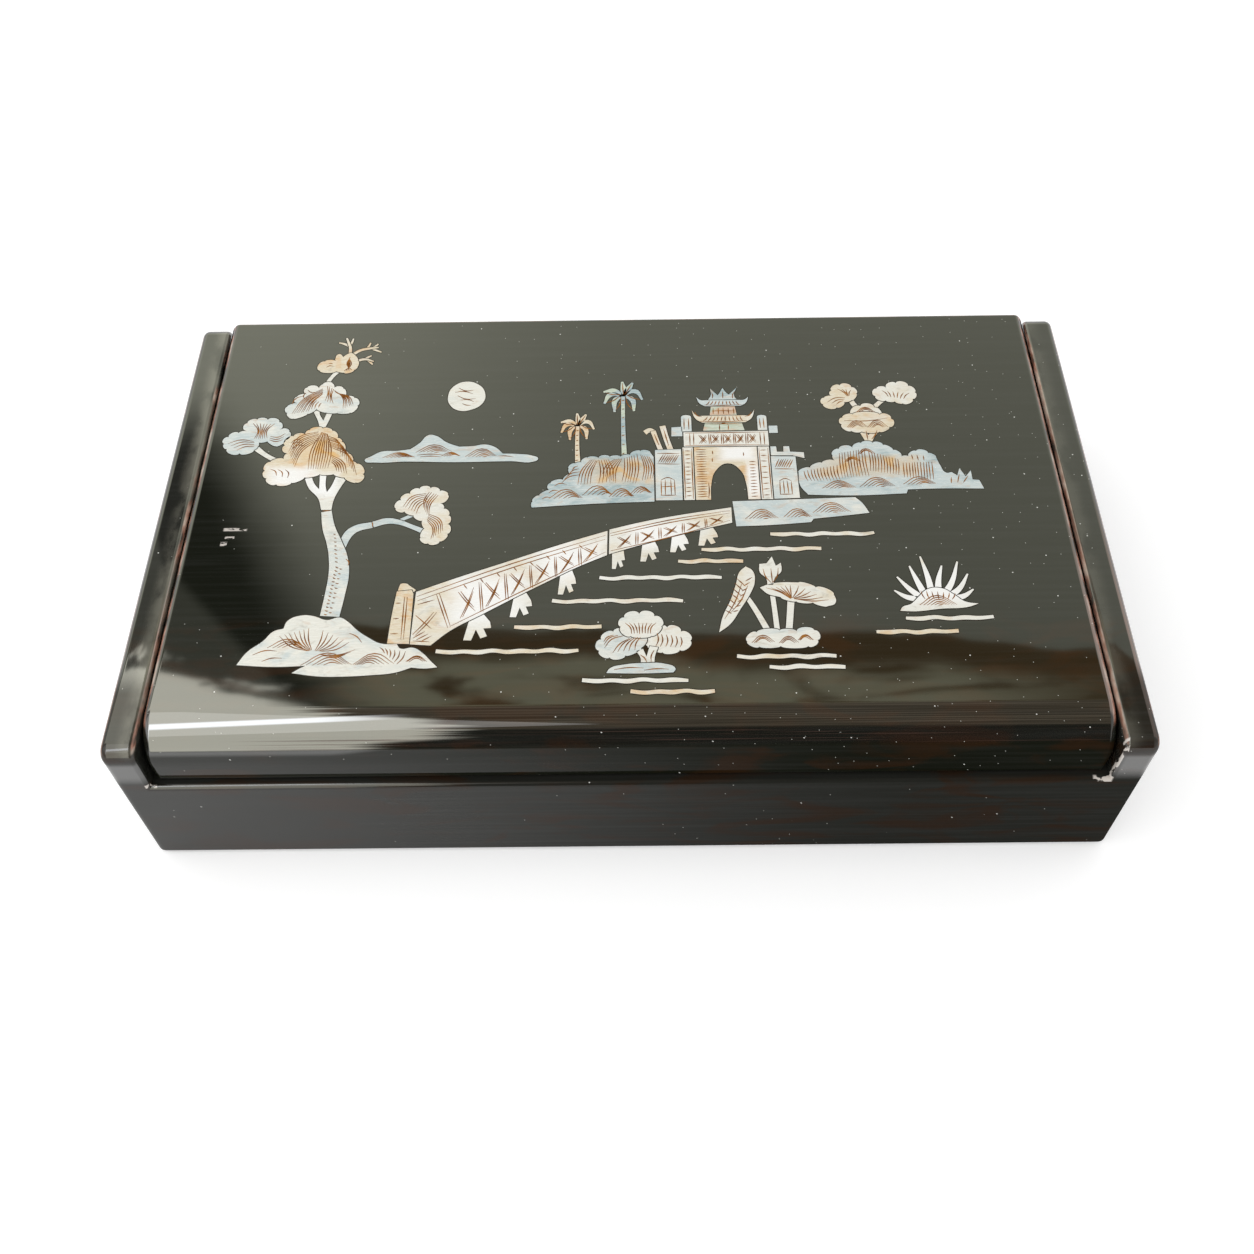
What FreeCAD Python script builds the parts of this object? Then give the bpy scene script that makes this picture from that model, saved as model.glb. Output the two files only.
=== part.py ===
"""A black lacquered ink box: a shallow tray between two raised end walls, a lid that swings on two pins,
mother-of-pearl let into the lid, and the ink stone, water dropper, ink stick and brushes that it holds.
Millimetres. +X runs along the box, +Y to the hinge side, +Z up. The origin is under its middle."""

import FreeCAD, Part
import os
from math import ceil, cos, hypot, pi, radians, sin, tan

Vector = FreeCAD.Vector

# Driving sizes of the tray
box_length = 240.0
box_depth = 140.0
end_wall_height = 49.5
end_wall_thickness = 8.0
front_wall_height = 34.0
front_wall_thickness = 8.0
back_wall_thickness = 8.0
bottom_thickness = 6.0
corner_lap = 4.0
bottom_lap = 4.0
outer_edge_round = 2.0
end_wall_corner_round = 3.5
plinth_round = 1.5
rim_round = 1.5
inner_edge_round = 1.2

# The square bamboo pegs that pin the corners, cut back and filled over before the lacquer went on
peg_size = 2.4
peg_length = 18.0
peg_cover = 0.5
peg_heights = (11.0, 24.0)
peg_clearance = 0.02

# Driving sizes of the lid
lid_side_gap = 0.7
lid_front_setback = 2.0
lid_floor_gap = 1.0
lid_rise = 1.0
lid_board_thickness = 6.0
nose_radius = 10.0
lid_side_round = 2.5
lid_plan_round = 2.3
lid_back_edge_round = 0.8
front_rail_depth = 12.0
hinge_rail_depth = 15.0
cleat_width = 8.0
tongue_length = 4.0
tongue_thickness = 3.0
tongue_height_in_board = 1.5

# The pivot
pin_radius = 1.5
pin_length = 21.0
pin_wall_clearance = 0.02
pin_running_clearance = 0.06
pin_end_room = 0.6
pivot_to_back = 7.5

# Inside the tray
lid_rest_width = 6.0
lid_rest_gap = 0.3
fitting_clearance = 0.3
divider_thickness = 3.0
divider_height = 24.0
divider_housing = 2.0
brush_bay_depth = 35.0
bed_thickness = 8.0

# The ink stone, which takes the length that the ink stick beside it leaves
stone_width = 61.0
stone_thickness = 17.0
stone_left_margin = 12.0
stone_to_stick = 6.0
stone_corner_round = 4.0
stone_edge_bevel = 0.8
stone_rim = 4.5
hill_depth = 2.5
hill_rise = 0.8
well_depth = 9.0
well_length = 15.0
well_slope_length = 17.0
stone_well_round = 6.0
cutter_overshoot = 1.0

# The water dropper
dropper_length = 44.0
dropper_width = 34.0
dropper_height = 22.0
dropper_wall = 2.5
dropper_corner_round = 6.0
dropper_edge_bevel = 1.6
dropper_hole_radius = 1.5
dropper_hole_inset = 9.0
dropper_back_margin = 6.0

# The ink stick
stick_length = 76.0
stick_width = 17.0
stick_thickness = 9.0
stick_bevel = 1.2
stick_bed_depth = 4.0
stick_front_margin = 14.0
stick_right_margin = 12.0
stick_panel_margin = 3.0
stick_panel_depth = 0.4

# The brushes, whose handles take the length that the bay leaves
large_handle_radius = 3.8
small_handle_radius = 3.2
brush_left_margin = 10.0
brush_right_margin = 14.0
handle_end_bevel = 0.6
ferrule_length = 13.0
ferrule_step = 1.1
tuft_length = 34.0
tuft_inset = 0.3
tuft_sides = 12
cap_wall = 1.0
cap_tip_room = 3.0
cap_overlap = 11.0
brush_rest_width = 10.0
brush_rest_height = 11.0
brush_spacing = 16.0
brush_rest_insets = (22.0, 18.0)

# The shell inlay
shell_thickness = 0.66
shell_pocket_depth = 0.6

# Places that follow from the sizes above
half_length = box_length / 2
half_depth = box_depth / 2
inner_x = half_length - end_wall_thickness
front_inner_y = -half_depth + front_wall_thickness
back_inner_y = half_depth - back_wall_thickness
lid_underside = front_wall_height + lid_floor_gap
lid_top = end_wall_height + lid_rise
lid_board_underside = lid_top - lid_board_thickness
lid_half_length = inner_x - lid_side_gap
lid_front_y = -half_depth + lid_front_setback
lid_back_y = half_depth
hinge_rail_front_y = lid_back_y - hinge_rail_depth
pivot_y = lid_back_y - pivot_to_back
pivot_z = lid_underside + pivot_to_back
rest_inner_x = inner_x - lid_rest_width
divider_back_y = back_inner_y - brush_bay_depth
divider_front_y = divider_back_y - divider_thickness
bed_top = bottom_thickness + bed_thickness
stone_x = -rest_inner_x + stone_left_margin
stick_x = rest_inner_x - stick_right_margin - stick_length
stone_length = stick_x - stone_to_stick - stone_x
cap_end_x = -rest_inner_x + brush_left_margin
tuft_tip_x = cap_end_x + 2 * cap_wall + cap_tip_room
brush_joint_x = tuft_tip_x + tuft_length + ferrule_length
handle_end_x = rest_inner_x - brush_right_margin
brush_rest_x = (brush_joint_x + brush_rest_insets[0], handle_end_x - brush_rest_insets[1])
shell_top = lid_top + shell_thickness - shell_pocket_depth
far = 2 * box_length

# The picture is drawn on a lid 222.6 units long and 138 units deep, with its front edge at y = -68
picture_unit_x = 2 * lid_half_length / 222.6
picture_unit_y = (lid_back_y - lid_front_y) / 138.0


def box(low, high):
    """A block between two opposite corners."""
    size = [b - a for a, b in zip(low, high)]
    return Part.makeBox(*size, Vector(*low))


def outline(corners, axis="z", offset=0.0):
    """A closed wire square to an axis, through (u, v) or (u, v, corner radius). Along X, u and v are y and z,
    and along Y they are x and z."""
    place = {"x": lambda u, v: Vector(offset, u, v), "y": lambda u, v: Vector(u, offset, v),
             "z": lambda u, v: Vector(u, v, offset)}[axis]
    points = [place(corner[0], corner[1]) for corner in corners]
    starts, middles, ends = [], [], []
    for i, here in enumerate(points):
        radius = corners[i][2] if len(corners[i]) > 2 else 0.0
        back = (points[i - 1] - here).normalize()
        onward = (points[(i + 1) % len(points)] - here).normalize()
        half_angle = back.getAngle(onward) / 2
        reach = radius / tan(half_angle) if radius else 0.0
        starts.append(here + back * reach)
        ends.append(here + onward * reach)
        to_arc = (radius / sin(half_angle) - radius) if radius else 0.0
        middles.append(here + (back + onward).normalize() * to_arc if radius else None)
    edges = []
    for i, start in enumerate(starts):
        if (start - ends[i - 1]).Length > 1e-6:
            edges.append(Part.makeLine(ends[i - 1], start))
        if middles[i]:
            edges.append(Part.Arc(start, middles[i], ends[i]).toShape())
    return Part.Wire(edges)


def prism(corners, axis, low, high):
    """A solid with that outline, from one place to another along the axis."""
    along = {"x": Vector(1, 0, 0), "y": Vector(0, 1, 0), "z": Vector(0, 0, 1)}[axis]
    return Part.Face(outline(corners, axis, low)).extrude(along * (high - low))


def chamfered(shape, size, chosen):
    """The shape with a bevel on every edge that the test chooses."""
    return shape.makeChamfer(size, [edge for edge in shape.Edges if chosen(edge)])


def is_at(edge, axis, place):
    """True if the whole edge has that coordinate."""
    return all(abs(getattr(vertex.Point, axis) - place) < 1e-4 for vertex in edge.Vertexes)


def rod(start, end, radius):
    """A round bar between two points."""
    start, end = Vector(*start), Vector(*end)
    return Part.makeCylinder(radius, (end - start).Length, start, end - start)


def mirrored_in_x(shape):
    return shape.mirror(Vector(0, 0, 0), Vector(1, 0, 0))


def export(name, *solids):
    """Writes one sub-part, which may be a group of separate solids."""
    shape = solids[0] if len(solids) == 1 else Part.makeCompound(list(solids))
    os.makedirs("parts", exist_ok=True)
    shape.exportStep("parts/" + name + ".step")


# The tray


def peg_places():
    """Y and Z of the pegs at one end of the box."""
    front_y = -half_depth + front_wall_thickness / 2
    back_y = half_depth - back_wall_thickness / 2
    return [(y, z) for y in (front_y, back_y) for z in peg_heights]


def peg(y, z, clearance=0.0):
    """One peg of the left end, or the hole for it."""
    outer_x, half = -half_length + peg_cover - clearance, peg_size / 2 + clearance
    return box((outer_x, y - half, z - half), (outer_x + peg_length + 2 * clearance, y + half, z + half))


def bottom_panel():
    """The bottom board's full outline, which the walls are rebated for."""
    x = inner_x + bottom_lap
    return box((-x, front_inner_y - bottom_lap, 0), (x, back_inner_y + bottom_lap, bottom_thickness))


def left_end_wall():
    """The raised cheek beside the lid, with the laps for its neighbours and the pin's hole. It is shaped
    from three sides: along the box, across it and from above."""
    x0, x1, y, top = -half_length, -inner_x, half_depth, end_wall_height
    from_side = prism([(-y, 0, plinth_round), (y, 0, plinth_round), (y, top, end_wall_corner_round),
                       (-y, top, end_wall_corner_round)], "x", x0, x1)
    from_front = prism([(x0, 0, plinth_round), (x1, 0), (x1, top, inner_edge_round),
                        (x0, top, outer_edge_round)], "y", -y, y)
    from_above = prism([(x0, -y, outer_edge_round), (x1, -y), (x1, y), (x0, y, outer_edge_round)],
                       "z", 0, top)
    board = from_side.common(from_front).common(from_above)
    for low_y, high_y in ((-y, front_inner_y), (back_inner_y, y)):
        board = board.cut(box((x1 - corner_lap, low_y, 0), (x1, high_y, front_wall_height)))
    board = board.cut(bottom_panel())
    board = board.cut(rod((x0, pivot_y, pivot_z), (x1, pivot_y, pivot_z), pin_radius + pin_wall_clearance))
    for peg_y, peg_z in peg_places():
        board = board.cut(peg(peg_y, peg_z, peg_clearance))
    return board


def cross_wall(outer_y, inner_y):
    """The front or back wall, lapped into the end walls and rebated for the bottom."""
    x = inner_x + corner_lap
    wall = prism([(outer_y, 0, plinth_round), (inner_y, 0), (inner_y, front_wall_height),
                  (outer_y, front_wall_height, rim_round)], "x", -x, x)
    wall = wall.cut(bottom_panel())
    for y, z in peg_places():
        wall = wall.cut(peg(y, z, peg_clearance))
        wall = wall.cut(mirrored_in_x(peg(y, z, peg_clearance)))
    return wall


def corner_pegs():
    left = [peg(y, z) for y, z in peg_places()]
    return left + [mirrored_in_x(shape) for shape in left]


def left_lid_rest():
    """A strip inside the end wall. The lid's cleat comes down on it, and the divider is housed in it."""
    strip = box((-inner_x, front_inner_y, bottom_thickness),
                (-rest_inner_x, back_inner_y, lid_underside - lid_rest_gap))
    return strip.cut(bay_divider())


def divider_outline():
    """Section of the divider across the box, with a rounded top."""
    top, ease = bottom_thickness + divider_height, divider_thickness * 0.4
    return [(divider_front_y, bottom_thickness), (divider_back_y, bottom_thickness),
            (divider_back_y, top, ease), (divider_front_y, top, ease)]


def bay_divider():
    """The upright between the brushes and the ink stone."""
    x = rest_inner_x + divider_housing
    return prism(divider_outline(), "x", -x, x)


def pivot_pins():
    """Brass pins driven through the end walls. The lid turns on them."""
    left = rod((-half_length, pivot_y, pivot_z), (-half_length + pin_length, pivot_y, pivot_z), pin_radius)
    return [left, mirrored_in_x(left)]


# The lid


def lid_blank():
    """The whole lid as it is shaped after gluing: a nose in front, and round below the pivot behind."""
    x, front, back, low, top = lid_half_length, lid_front_y, lid_back_y, lid_underside, lid_top
    from_side = prism([(front, low), (back, low, pivot_to_back), (back, top, lid_back_edge_round),
                       (front, top, nose_radius)], "x", -x, x)
    from_front = prism([(-x, low), (x, low), (x, top, lid_side_round), (-x, top, lid_side_round)],
                       "y", front, back)
    from_above = prism([(-x, front, lid_plan_round), (x, front, lid_plan_round), (x, back, lid_plan_round),
                        (-x, back, lid_plan_round)], "z", low, top)
    return from_side.common(from_front).common(from_above)


def lid_tongue():
    low_z = lid_board_underside + tongue_height_in_board
    return box((-lid_half_length + lid_side_round, hinge_rail_front_y, low_z),
               (lid_half_length - lid_side_round, hinge_rail_front_y + tongue_length,
                low_z + tongue_thickness))


def lid_parts(blank):
    """The glued boards of the lid, each cut from the shaped blank so that the joints are flush."""
    rail_back_y = lid_front_y + front_rail_depth
    board = blank.common(box((-far, -far, lid_board_underside), (far, hinge_rail_front_y, far)))
    board = board.fuse(lid_tongue()).removeSplitter()
    front_rail = blank.common(box((-far, -far, 0), (far, rail_back_y, lid_board_underside)))
    hinge_rail = blank.common(box((-far, hinge_rail_front_y, 0), (far, far, far)))
    hinge_rail = hinge_rail.cut(lid_tongue())
    bore_end = half_length - pin_length - pin_end_room
    bore = rod((-lid_half_length, pivot_y, pivot_z), (-bore_end, pivot_y, pivot_z),
               pin_radius + pin_running_clearance)
    hinge_rail = hinge_rail.cut(bore).cut(mirrored_in_x(bore))
    left_cleat = blank.common(box((-far, rail_back_y, 0),
                                  (-lid_half_length + cleat_width, hinge_rail_front_y, lid_board_underside)))
    return board, front_rail, hinge_rail, left_cleat, mirrored_in_x(left_cleat)


# The shell inlay: outlines in the picture's units, with corner radii where they have them


def scalloped(points, bulge):
    """The outline, anticlockwise, with each side bowed outwards by a share of its length."""
    corners = []
    for (x0, y0), (x1, y1) in zip(points, points[1:] + points[:1]):
        corners += [(x0, y0), ((x0 + x1) / 2 + (y1 - y0) * bulge, (y0 + y1) / 2 - (x1 - x0) * bulge)]
    return corners


def limb(points, widths):
    """A tapering branch along a centre line."""
    left, right = [], []
    for i, ((x, y), width) in enumerate(zip(points, widths)):
        x0, y0 = points[max(i - 1, 0)]
        x1, y1 = points[min(i + 1, len(points) - 1)]
        run = hypot(x1 - x0, y1 - y0)
        across = (-(y1 - y0) / run * width / 2, (x1 - x0) / run * width / 2)
        left.append((x + across[0], y + across[1]))
        right.append((x - across[0], y - across[1]))
    return right + left[::-1]


def blade(x, y, angle, length, width):
    """A pointed leaf from its base, at an angle in degrees from +X."""
    along = (cos(radians(angle)), sin(radians(angle)))
    sides = ((0, 0), (length * 0.42, -width / 2), (length, 0), (length * 0.42, width / 2))
    return [(x + along[0] * u - along[1] * v, y + along[1] * u + along[0] * v) for u, v in sides]


def crown(x, y, width, height, scallops, lean=0.0):
    """A cloud of pine needles: scallops over an arch, and shallow hollows below."""
    points, per_scallop = [], 3
    steps = per_scallop * scallops
    for i in range(steps + 1):
        a = pi * i / steps
        swell = 1 + 1.1 / scallops * sin(pi * (i % per_scallop) / per_scallop)
        points.append((x + width / 2 * cos(a) * swell + lean * sin(a), y + height * sin(a) ** 0.85 * swell))
    hollows = ((-0.26, 0.05), (0.0, -0.05), (0.26, 0.05))
    return points + [(x + width * u, y + height * v) for u, v in hollows]


def wavy_bar(x0, y0, x1, y1, width=1.05, wave=0.16, step=8.0):
    """A thin strip of shell for a ripple."""
    count = max(2, ceil((x1 - x0) / step))
    upper, lower = [], []
    for i in range(count + 1):
        t = i / count
        x, y = x0 + (x1 - x0) * t, y0 + (y1 - y0) * t + (wave if i % 2 else -wave)
        upper.append((x, y + width / 2))
        lower.append((x, y - width / 2))
    return lower + upper[::-1]


def pine_crowns():
    return [[crown(-80.5, 11.0, 24.0, 17.0, 9, 0.8)],
            [crown(-81.5, 33.6, 18.0, 11.5, 7, -0.6)],
            [crown(-98.0, 21.2, 15.5, 10.5, 7, 0.5)],
            [crown(-79.0, 50.0, 10.5, 6.8, 5, -0.4)],
            [crown(-51.5, -8.6, 14.0, 15.5, 8, -1.0)]]


def pine_trunk():
    """The trunk in two shells, and each bough as a shell of its own."""
    fork = [limb([(-75.8, 0.0), (-77.6, 4.5), (-83.0, 14.0)], [3.0, 3.0, 1.8]),
            limb([(-77.0, 3.0), (-78.4, 8.0), (-78.2, 14.0)], [2.0, 1.8, 1.5]),
            limb([(-76.6, 1.5), (-74.4, 6.5), (-72.0, 14.0)], [2.6, 2.2, 1.8])]
    twigs = [limb([(-78.0, 52.0), (-76.8, 57.5), (-77.4, 63.0)], [1.2, 1.0, 0.7]),
             limb([(-77.0, 57.0), (-79.6, 61.0)], [0.9, 0.6]),
             limb([(-78.0, 53.0), (-72.5, 57.8), (-68.4, 59.2)], [1.2, 1.0, 0.7]),
             limb([(-73.2, 57.2), (-71.2, 61.6)], [0.9, 0.6]),
             limb([(-77.0, 53.0), (-71.4, 54.6)], [1.0, 0.7])]
    return [fork,
            [limb([(-71.6, -33.5), (-71.4, -24.0), (-72.8, -12.0), (-75.7, -0.25)], [5.4, 4.8, 4.0, 3.0])],
            [limb([(-73.0, -11.0), (-69.4, -6.2), (-64.0, -4.2), (-59.0, -3.8), (-52.0, -6.5)],
                  [3.0, 2.6, 2.2, 1.9, 1.5])],
            [limb([(-84.0, 15.0), (-91.0, 18.0), (-97.5, 23.0)], [1.8, 1.6, 1.2])],
            [limb([(-80.9, 26.0), (-80.9, 29.6), (-83.6, 35.5)], [2.2, 2.0, 1.2]),
             limb([(-80.9, 29.0), (-78.6, 35.5)], [1.6, 1.2])],
            [limb([(-81.4, 42.0), (-80.8, 46.5), (-78.6, 52.0)], [1.7, 1.4, 1.2])],
            twigs]


def pine_rock():
    return [[scalloped([(-91.0, -46.2), (-79.0, -47.6), (-75.0, -49.4), (-61.0, -49.2), (-45.6, -46.8),
                        (-48.4, -43.4), (-57.0, -40.6), (-64.2, -36.4), (-68.0, -33.2), (-77.4, -32.6),
                        (-82.4, -35.8), (-87.4, -41.0)], 0.08)]]


def moon(x=-43.4, y=40.4, radius=5.0):
    """A disc, as a square whose corners meet in the middle of its sides."""
    return [[[(x - radius, y - radius, radius), (x + radius, y - radius, radius),
              (x + radius, y + radius, radius), (x - radius, y + radius, radius)]]]


def far_hills():
    return [[scalloped([(-68.0, 17.0), (-46.0, 16.6), (-23.4, 16.8), (-30.8, 19.2), (-36.0, 22.0),
                        (-43.0, 21.6), (-47.6, 23.0), (-51.8, 26.2), (-55.6, 21.6), (-62.0, 20.6)], 0.06)]]


def left_island():
    return [[scalloped([(-24.0, 0.8), (-8.0, 1.2), (7.2, 2.4), (7.2, 16.8), (2.4, 18.8), (-3.0, 17.4),
                        (-8.2, 17.8), (-13.8, 15.0), (-15.2, 10.8), (-19.6, 8.8), (-21.4, 4.2)], 0.07)]]


def palm(x, foot, top, reach):
    """A slim trunk with fronds that fan out and hang at the sides."""
    outlines = [limb([(x - 0.3, foot), (x, top)], [1.3, 1.0])]
    for angle in (-68, -22, 18, 62, 90, 118, 162, 202, 248):
        outlines.append(blade(x, top - 0.2, angle, reach * (1.0 if angle % 180 else 1.1), reach * 0.34))
    return outlines


def palms():
    return [palm(-12.9, 14.0, 27.6, 5.0), palm(-0.9, 16.0, 39.4, 5.4)]


def upswept_roof(x, y, half_width, rise, crest):
    """Curled eaves on both sides of a low ridge."""
    right = [(x + half_width * 0.62, y), (x + half_width, y + rise), (x + half_width * 0.52, y + rise * 0.72),
             (x + half_width * 0.34, y + crest)]
    left = [(2 * x - u, v) for u, v in right[::-1]]
    return right + left


def gatehouse(x=27.0, ground=2.9):
    """A gate with an arch, side wings, a banded frieze and a small two-storey tower."""
    half_gate, top, arch, crown_y = 9.5, 20.6, 4.4, 14.0
    arched = [(x - half_gate, ground), (x - arch, ground), (x - arch, crown_y, arch),
              (x + arch, crown_y, arch), (x + arch, ground), (x + half_gate, ground),
              (x + half_gate, top), (x - half_gate, top)]

    def block(x0, y0, x1, y1):
        return [(x0, y0), (x1, y0), (x1, y1), (x0, y1)]

    pieces = [[arched], [block(x - 12.0, 20.9, x + 12.0, 26.6)]]
    for side in (-1, 1):
        near, outer = x + side * (half_gate + 0.3), x + side * 17.6
        low_x, high_x = min(near, outer), max(near, outer)
        pieces.append([block(low_x, ground, high_x, 17.6),
                       block(x + side * 16.2 - 0.9, 17.0, x + side * 16.2 + 0.9, 20.4),
                       block(x + side * 12.8 - 0.9, 17.0, x + side * 12.8 + 0.9, 20.4)])
        pieces.append([block(x + side * 10.8 - 1.2, 26.9, x + side * 10.8 + 1.2, 31.4),
                       block(x + side * 11.9 - 2.6, 27.4, x + side * 11.9 + 2.6, 29.2)])
    pieces.append([upswept_roof(x, 26.9, 8.2, 4.6, 3.2)])
    pieces.append([block(x - 3.8, 30.4, x + 3.8, 34.6)])
    pieces.append([upswept_roof(x, 34.9, 7.0, 3.8, 3.4)])
    pieces.append([blade(x + dx, 38.0, 90 + 8 * side, 4.2 - abs(dx) * 0.3, 1.7)
                   for side, dx in ((1, -2.1), (0, 0.0), (-1, 2.1))])
    return pieces


def right_island():
    return [[scalloped([(45.0, 3.8), (58.0, 3.2), (72.0, 3.6), (91.0, 5.8), (87.0, 9.6), (83.4, 9.4),
                        (80.4, 16.0), (75.6, 18.8), (70.6, 16.4), (66.0, 19.8), (61.0, 21.0), (55.6, 17.6),
                        (52.4, 14.8), (48.0, 13.8), (45.0, 10.8)], 0.09)]]


def hill_tree():
    crowns = [[crown(64.0, 26.0, 14.0, 6.0, 6, 0.3)], [crown(57.8, 35.2, 10.5, 6.4, 5, -0.5)],
              [crown(72.8, 36.0, 11.0, 6.2, 5, 0.5)]]
    boughs = [[limb([(63.6, 22.0), (62.2, 24.6), (60.6, 27.0)], [1.5, 1.4, 1.2]),
               limb([(63.8, 22.0), (66.0, 25.0), (67.4, 27.0)], [1.5, 1.4, 1.2])],
              [limb([(64.0, 31.0), (61.0, 33.6), (58.4, 37.0)], [1.6, 1.4, 1.0]),
               limb([(64.4, 31.0), (68.6, 34.4), (72.4, 37.6)], [1.6, 1.4, 1.0])]]
    return crowns + boughs


def causeway():
    return [[[(27.2, -6.0), (45.8, -4.9), (47.0, -3.8), (60.8, -2.4), (58.6, 2.2), (40.0, 2.6),
              (26.8, 2.2)]]]


def trestle(x, y, height, spread):
    """Two splayed legs under the deck."""
    return [limb([(x + 0.4, y + 2.0), (x - spread, y - height)], [2.2, 1.3]),
            limb([(x - 0.2, y - height * 0.25), (x + spread * 0.9, y - height * 0.82)], [1.8, 1.2])]


def bridge():
    left_deck = [(-57.0, -40.2), (-46.4, -40.8), (-36.0, -33.8), (-26.0, -26.8), (-16.0, -20.6),
                         (-4.6, -15.2), (-4.6, -6.9), (-25.0, -13.8), (-40.0, -19.4), (-51.8, -24.6),
                         (-53.2, -23.2), (-55.8, -23.8)]
    right_deck = [(-4.3, -15.0), (6.0, -11.3), (16.0, -8.1), (26.4, -4.9), (26.4, 0.5), (10.0, -2.6),
                  (-4.3, -6.7)]
    pieces = [[left_deck], [right_deck]]
    for x, y, height, spread in ((-35.4, -33.6, 6.4, 2.6), (-25.4, -26.8, 6.2, 2.6), (-14.8, -20.4, 6.0, 2.0),
                                 (-1.8, -14.2, 5.0, 1.6), (5.8, -11.4, 5.4, 2.0), (13.2, -9.2, 5.0, 2.0),
                                 (20.4, -6.9, 5.0, 2.0)):
        pieces.append(trestle(x, y, height, spread))
    return pieces


def water_lines():
    lines = [(-44.6, -43.4, -12.0, -43.2), (-27.0, -36.4, -6.4, -36.6), (-18.4, -29.0, 13.4, -28.4),
             (-6.8, -22.2, 23.0, -21.6), (12.6, -17.2, 28.4, -17.0), (28.0, -12.9, 48.0, -13.9),
             (35.6, -8.8, 61.4, -9.0), (-10.6, -52.6, 14.0, -51.8), (1.6, -55.0, 20.0, -54.6),
             (25.8, -45.6, 48.8, -45.4), (33.0, -48.4, 50.6, -48.2), (66.4, -35.2, 87.2, -34.6),
             (59.0, -39.0, 78.2, -38.4)]
    return [[wavy_bar(*line)] for line in lines]


def cloud_tree():
    mound = scalloped([(-4.8, -49.8), (11.0, -49.8), (8.8, -47.8), (3.4, -47.0), (-1.8, -47.6)], 0.06)
    crowns = [[crown(3.4, -39.2, 11.0, 6.2, 6, 0.4)], [crown(-1.0, -44.8, 11.5, 6.4, 6, -0.4)],
              [crown(9.2, -44.2, 11.4, 7.0, 6, 0.3)]]
    return crowns + [[mound], [limb([(3.0, -47.4), (0.8, -43.0)], [1.7, 1.3])],
                     [limb([(5.6, -47.4), (7.2, -42.6)], [1.9, 1.4])]]


def lotus():
    """A folded leaf, a spread leaf and a bud on their stems."""
    folded = blade(22.0, -38.4, 68, 21.0, 6.4)
    spread_leaf = scalloped([(33.2, -27.2), (38.6, -30.2), (46.0, -31.4), (50.0, -29.4), (47.6, -26.2),
                             (43.0, -24.2), (37.6, -23.6)], 0.16)
    bud = [blade(35.4, -22.0, angle, 6.2, 2.3) for angle in (68, 96, 124)]
    mound = scalloped([(28.0, -41.4), (36.0, -42.8), (44.4, -41.6), (45.4, -39.0), (40.0, -37.4),
                       (36.4, -38.6), (31.6, -38.0)], 0.16)
    stems = [[limb([(33.0, -38.6), (30.8, -33.2), (27.6, -28.6)], [1.5, 1.4, 1.2])],
             [limb([(35.8, -38.8), (35.4, -30.0), (35.4, -21.4)], [1.3, 1.2, 1.0])],
             [limb([(38.0, -38.2), (39.6, -33.6), (39.8, -28.6)], [1.6, 1.5, 1.4])]]
    return [[folded], [mound], bud, [spread_leaf]] + stems


def reeds():
    mound = scalloped([(65.4, -32.6), (74.0, -32.0), (84.2, -31.2), (79.4, -28.4), (72.0, -27.4)], 0.06)
    blades = [blade(74.0 + 0.05 * (90 - angle), -30.6, angle, 9.0 + 4.6 * sin(radians(angle)), 1.9)
              for angle in range(24, 165, 17)]
    return [[mound] + blades]


def on_lid(points):
    """Picture units turned into places on the lid."""
    radius_unit = min(picture_unit_x, picture_unit_y)
    placed = []
    for x, y, *radius in points:
        place = (x * picture_unit_x, lid_front_y + (y + 68.0) * picture_unit_y)
        placed.append(place + tuple(r * radius_unit for r in radius))
    return placed


def shell_pieces(pieces, earlier):
    """Thin plates for one figure. Each is fitted against the pieces set before it."""
    plates = []
    for shapes in pieces:
        wires = [outline(on_lid(shape)) for shape in shapes]
        slabs = [Part.Face(wire).extrude(Vector(0, 0, shell_thickness)) for wire in wires]
        plate = slabs[0] if len(slabs) == 1 else slabs[0].multiFuse(slabs[1:]).removeSplitter()
        plate.translate(Vector(0, 0, shell_top - shell_thickness))
        for other in earlier + plates:
            if plate.BoundBox.intersect(other.BoundBox):
                plate = plate.cut(other)
        plates += [solid for solid in plate.Solids if solid.Volume > 0.3]
    return plates


def inlay():
    """Every figure on the lid, and the pocket cutters that match them."""
    figures = {
        "inlay_pine_crowns": pine_crowns(), "inlay_pine_rock": pine_rock(), "inlay_pine_trunk": pine_trunk(),
        "inlay_moon": moon(), "inlay_far_hills": far_hills(), "inlay_left_island": left_island(),
        "inlay_palms": palms(), "inlay_gatehouse": gatehouse(), "inlay_right_island": right_island(),
        "inlay_hill_tree": hill_tree(), "inlay_causeway": causeway(), "inlay_bridge": bridge(),
        "inlay_cloud_tree": cloud_tree(), "inlay_lotus": lotus(), "inlay_reeds": reeds(),
        "inlay_water_lines": water_lines(),
    }
    made, earlier = {}, []
    for name, pieces in figures.items():
        made[name] = shell_pieces(pieces, earlier)
        earlier = earlier + made[name]
    return made, Part.makeCompound(earlier)


# What the tray holds


def stone_place():
    """Low corner of the ink stone, which lies along the left of the front bay."""
    return stone_x, (front_inner_y + divider_front_y - stone_width) / 2


def upright_block(x0, y0, length, width, low_z, high_z, corner):
    """A block with round upright corners."""
    return prism([(x0, y0, corner), (x0 + length, y0, corner), (x0 + length, y0 + width, corner),
                  (x0, y0 + width, corner)], "z", low_z, high_z)


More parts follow.
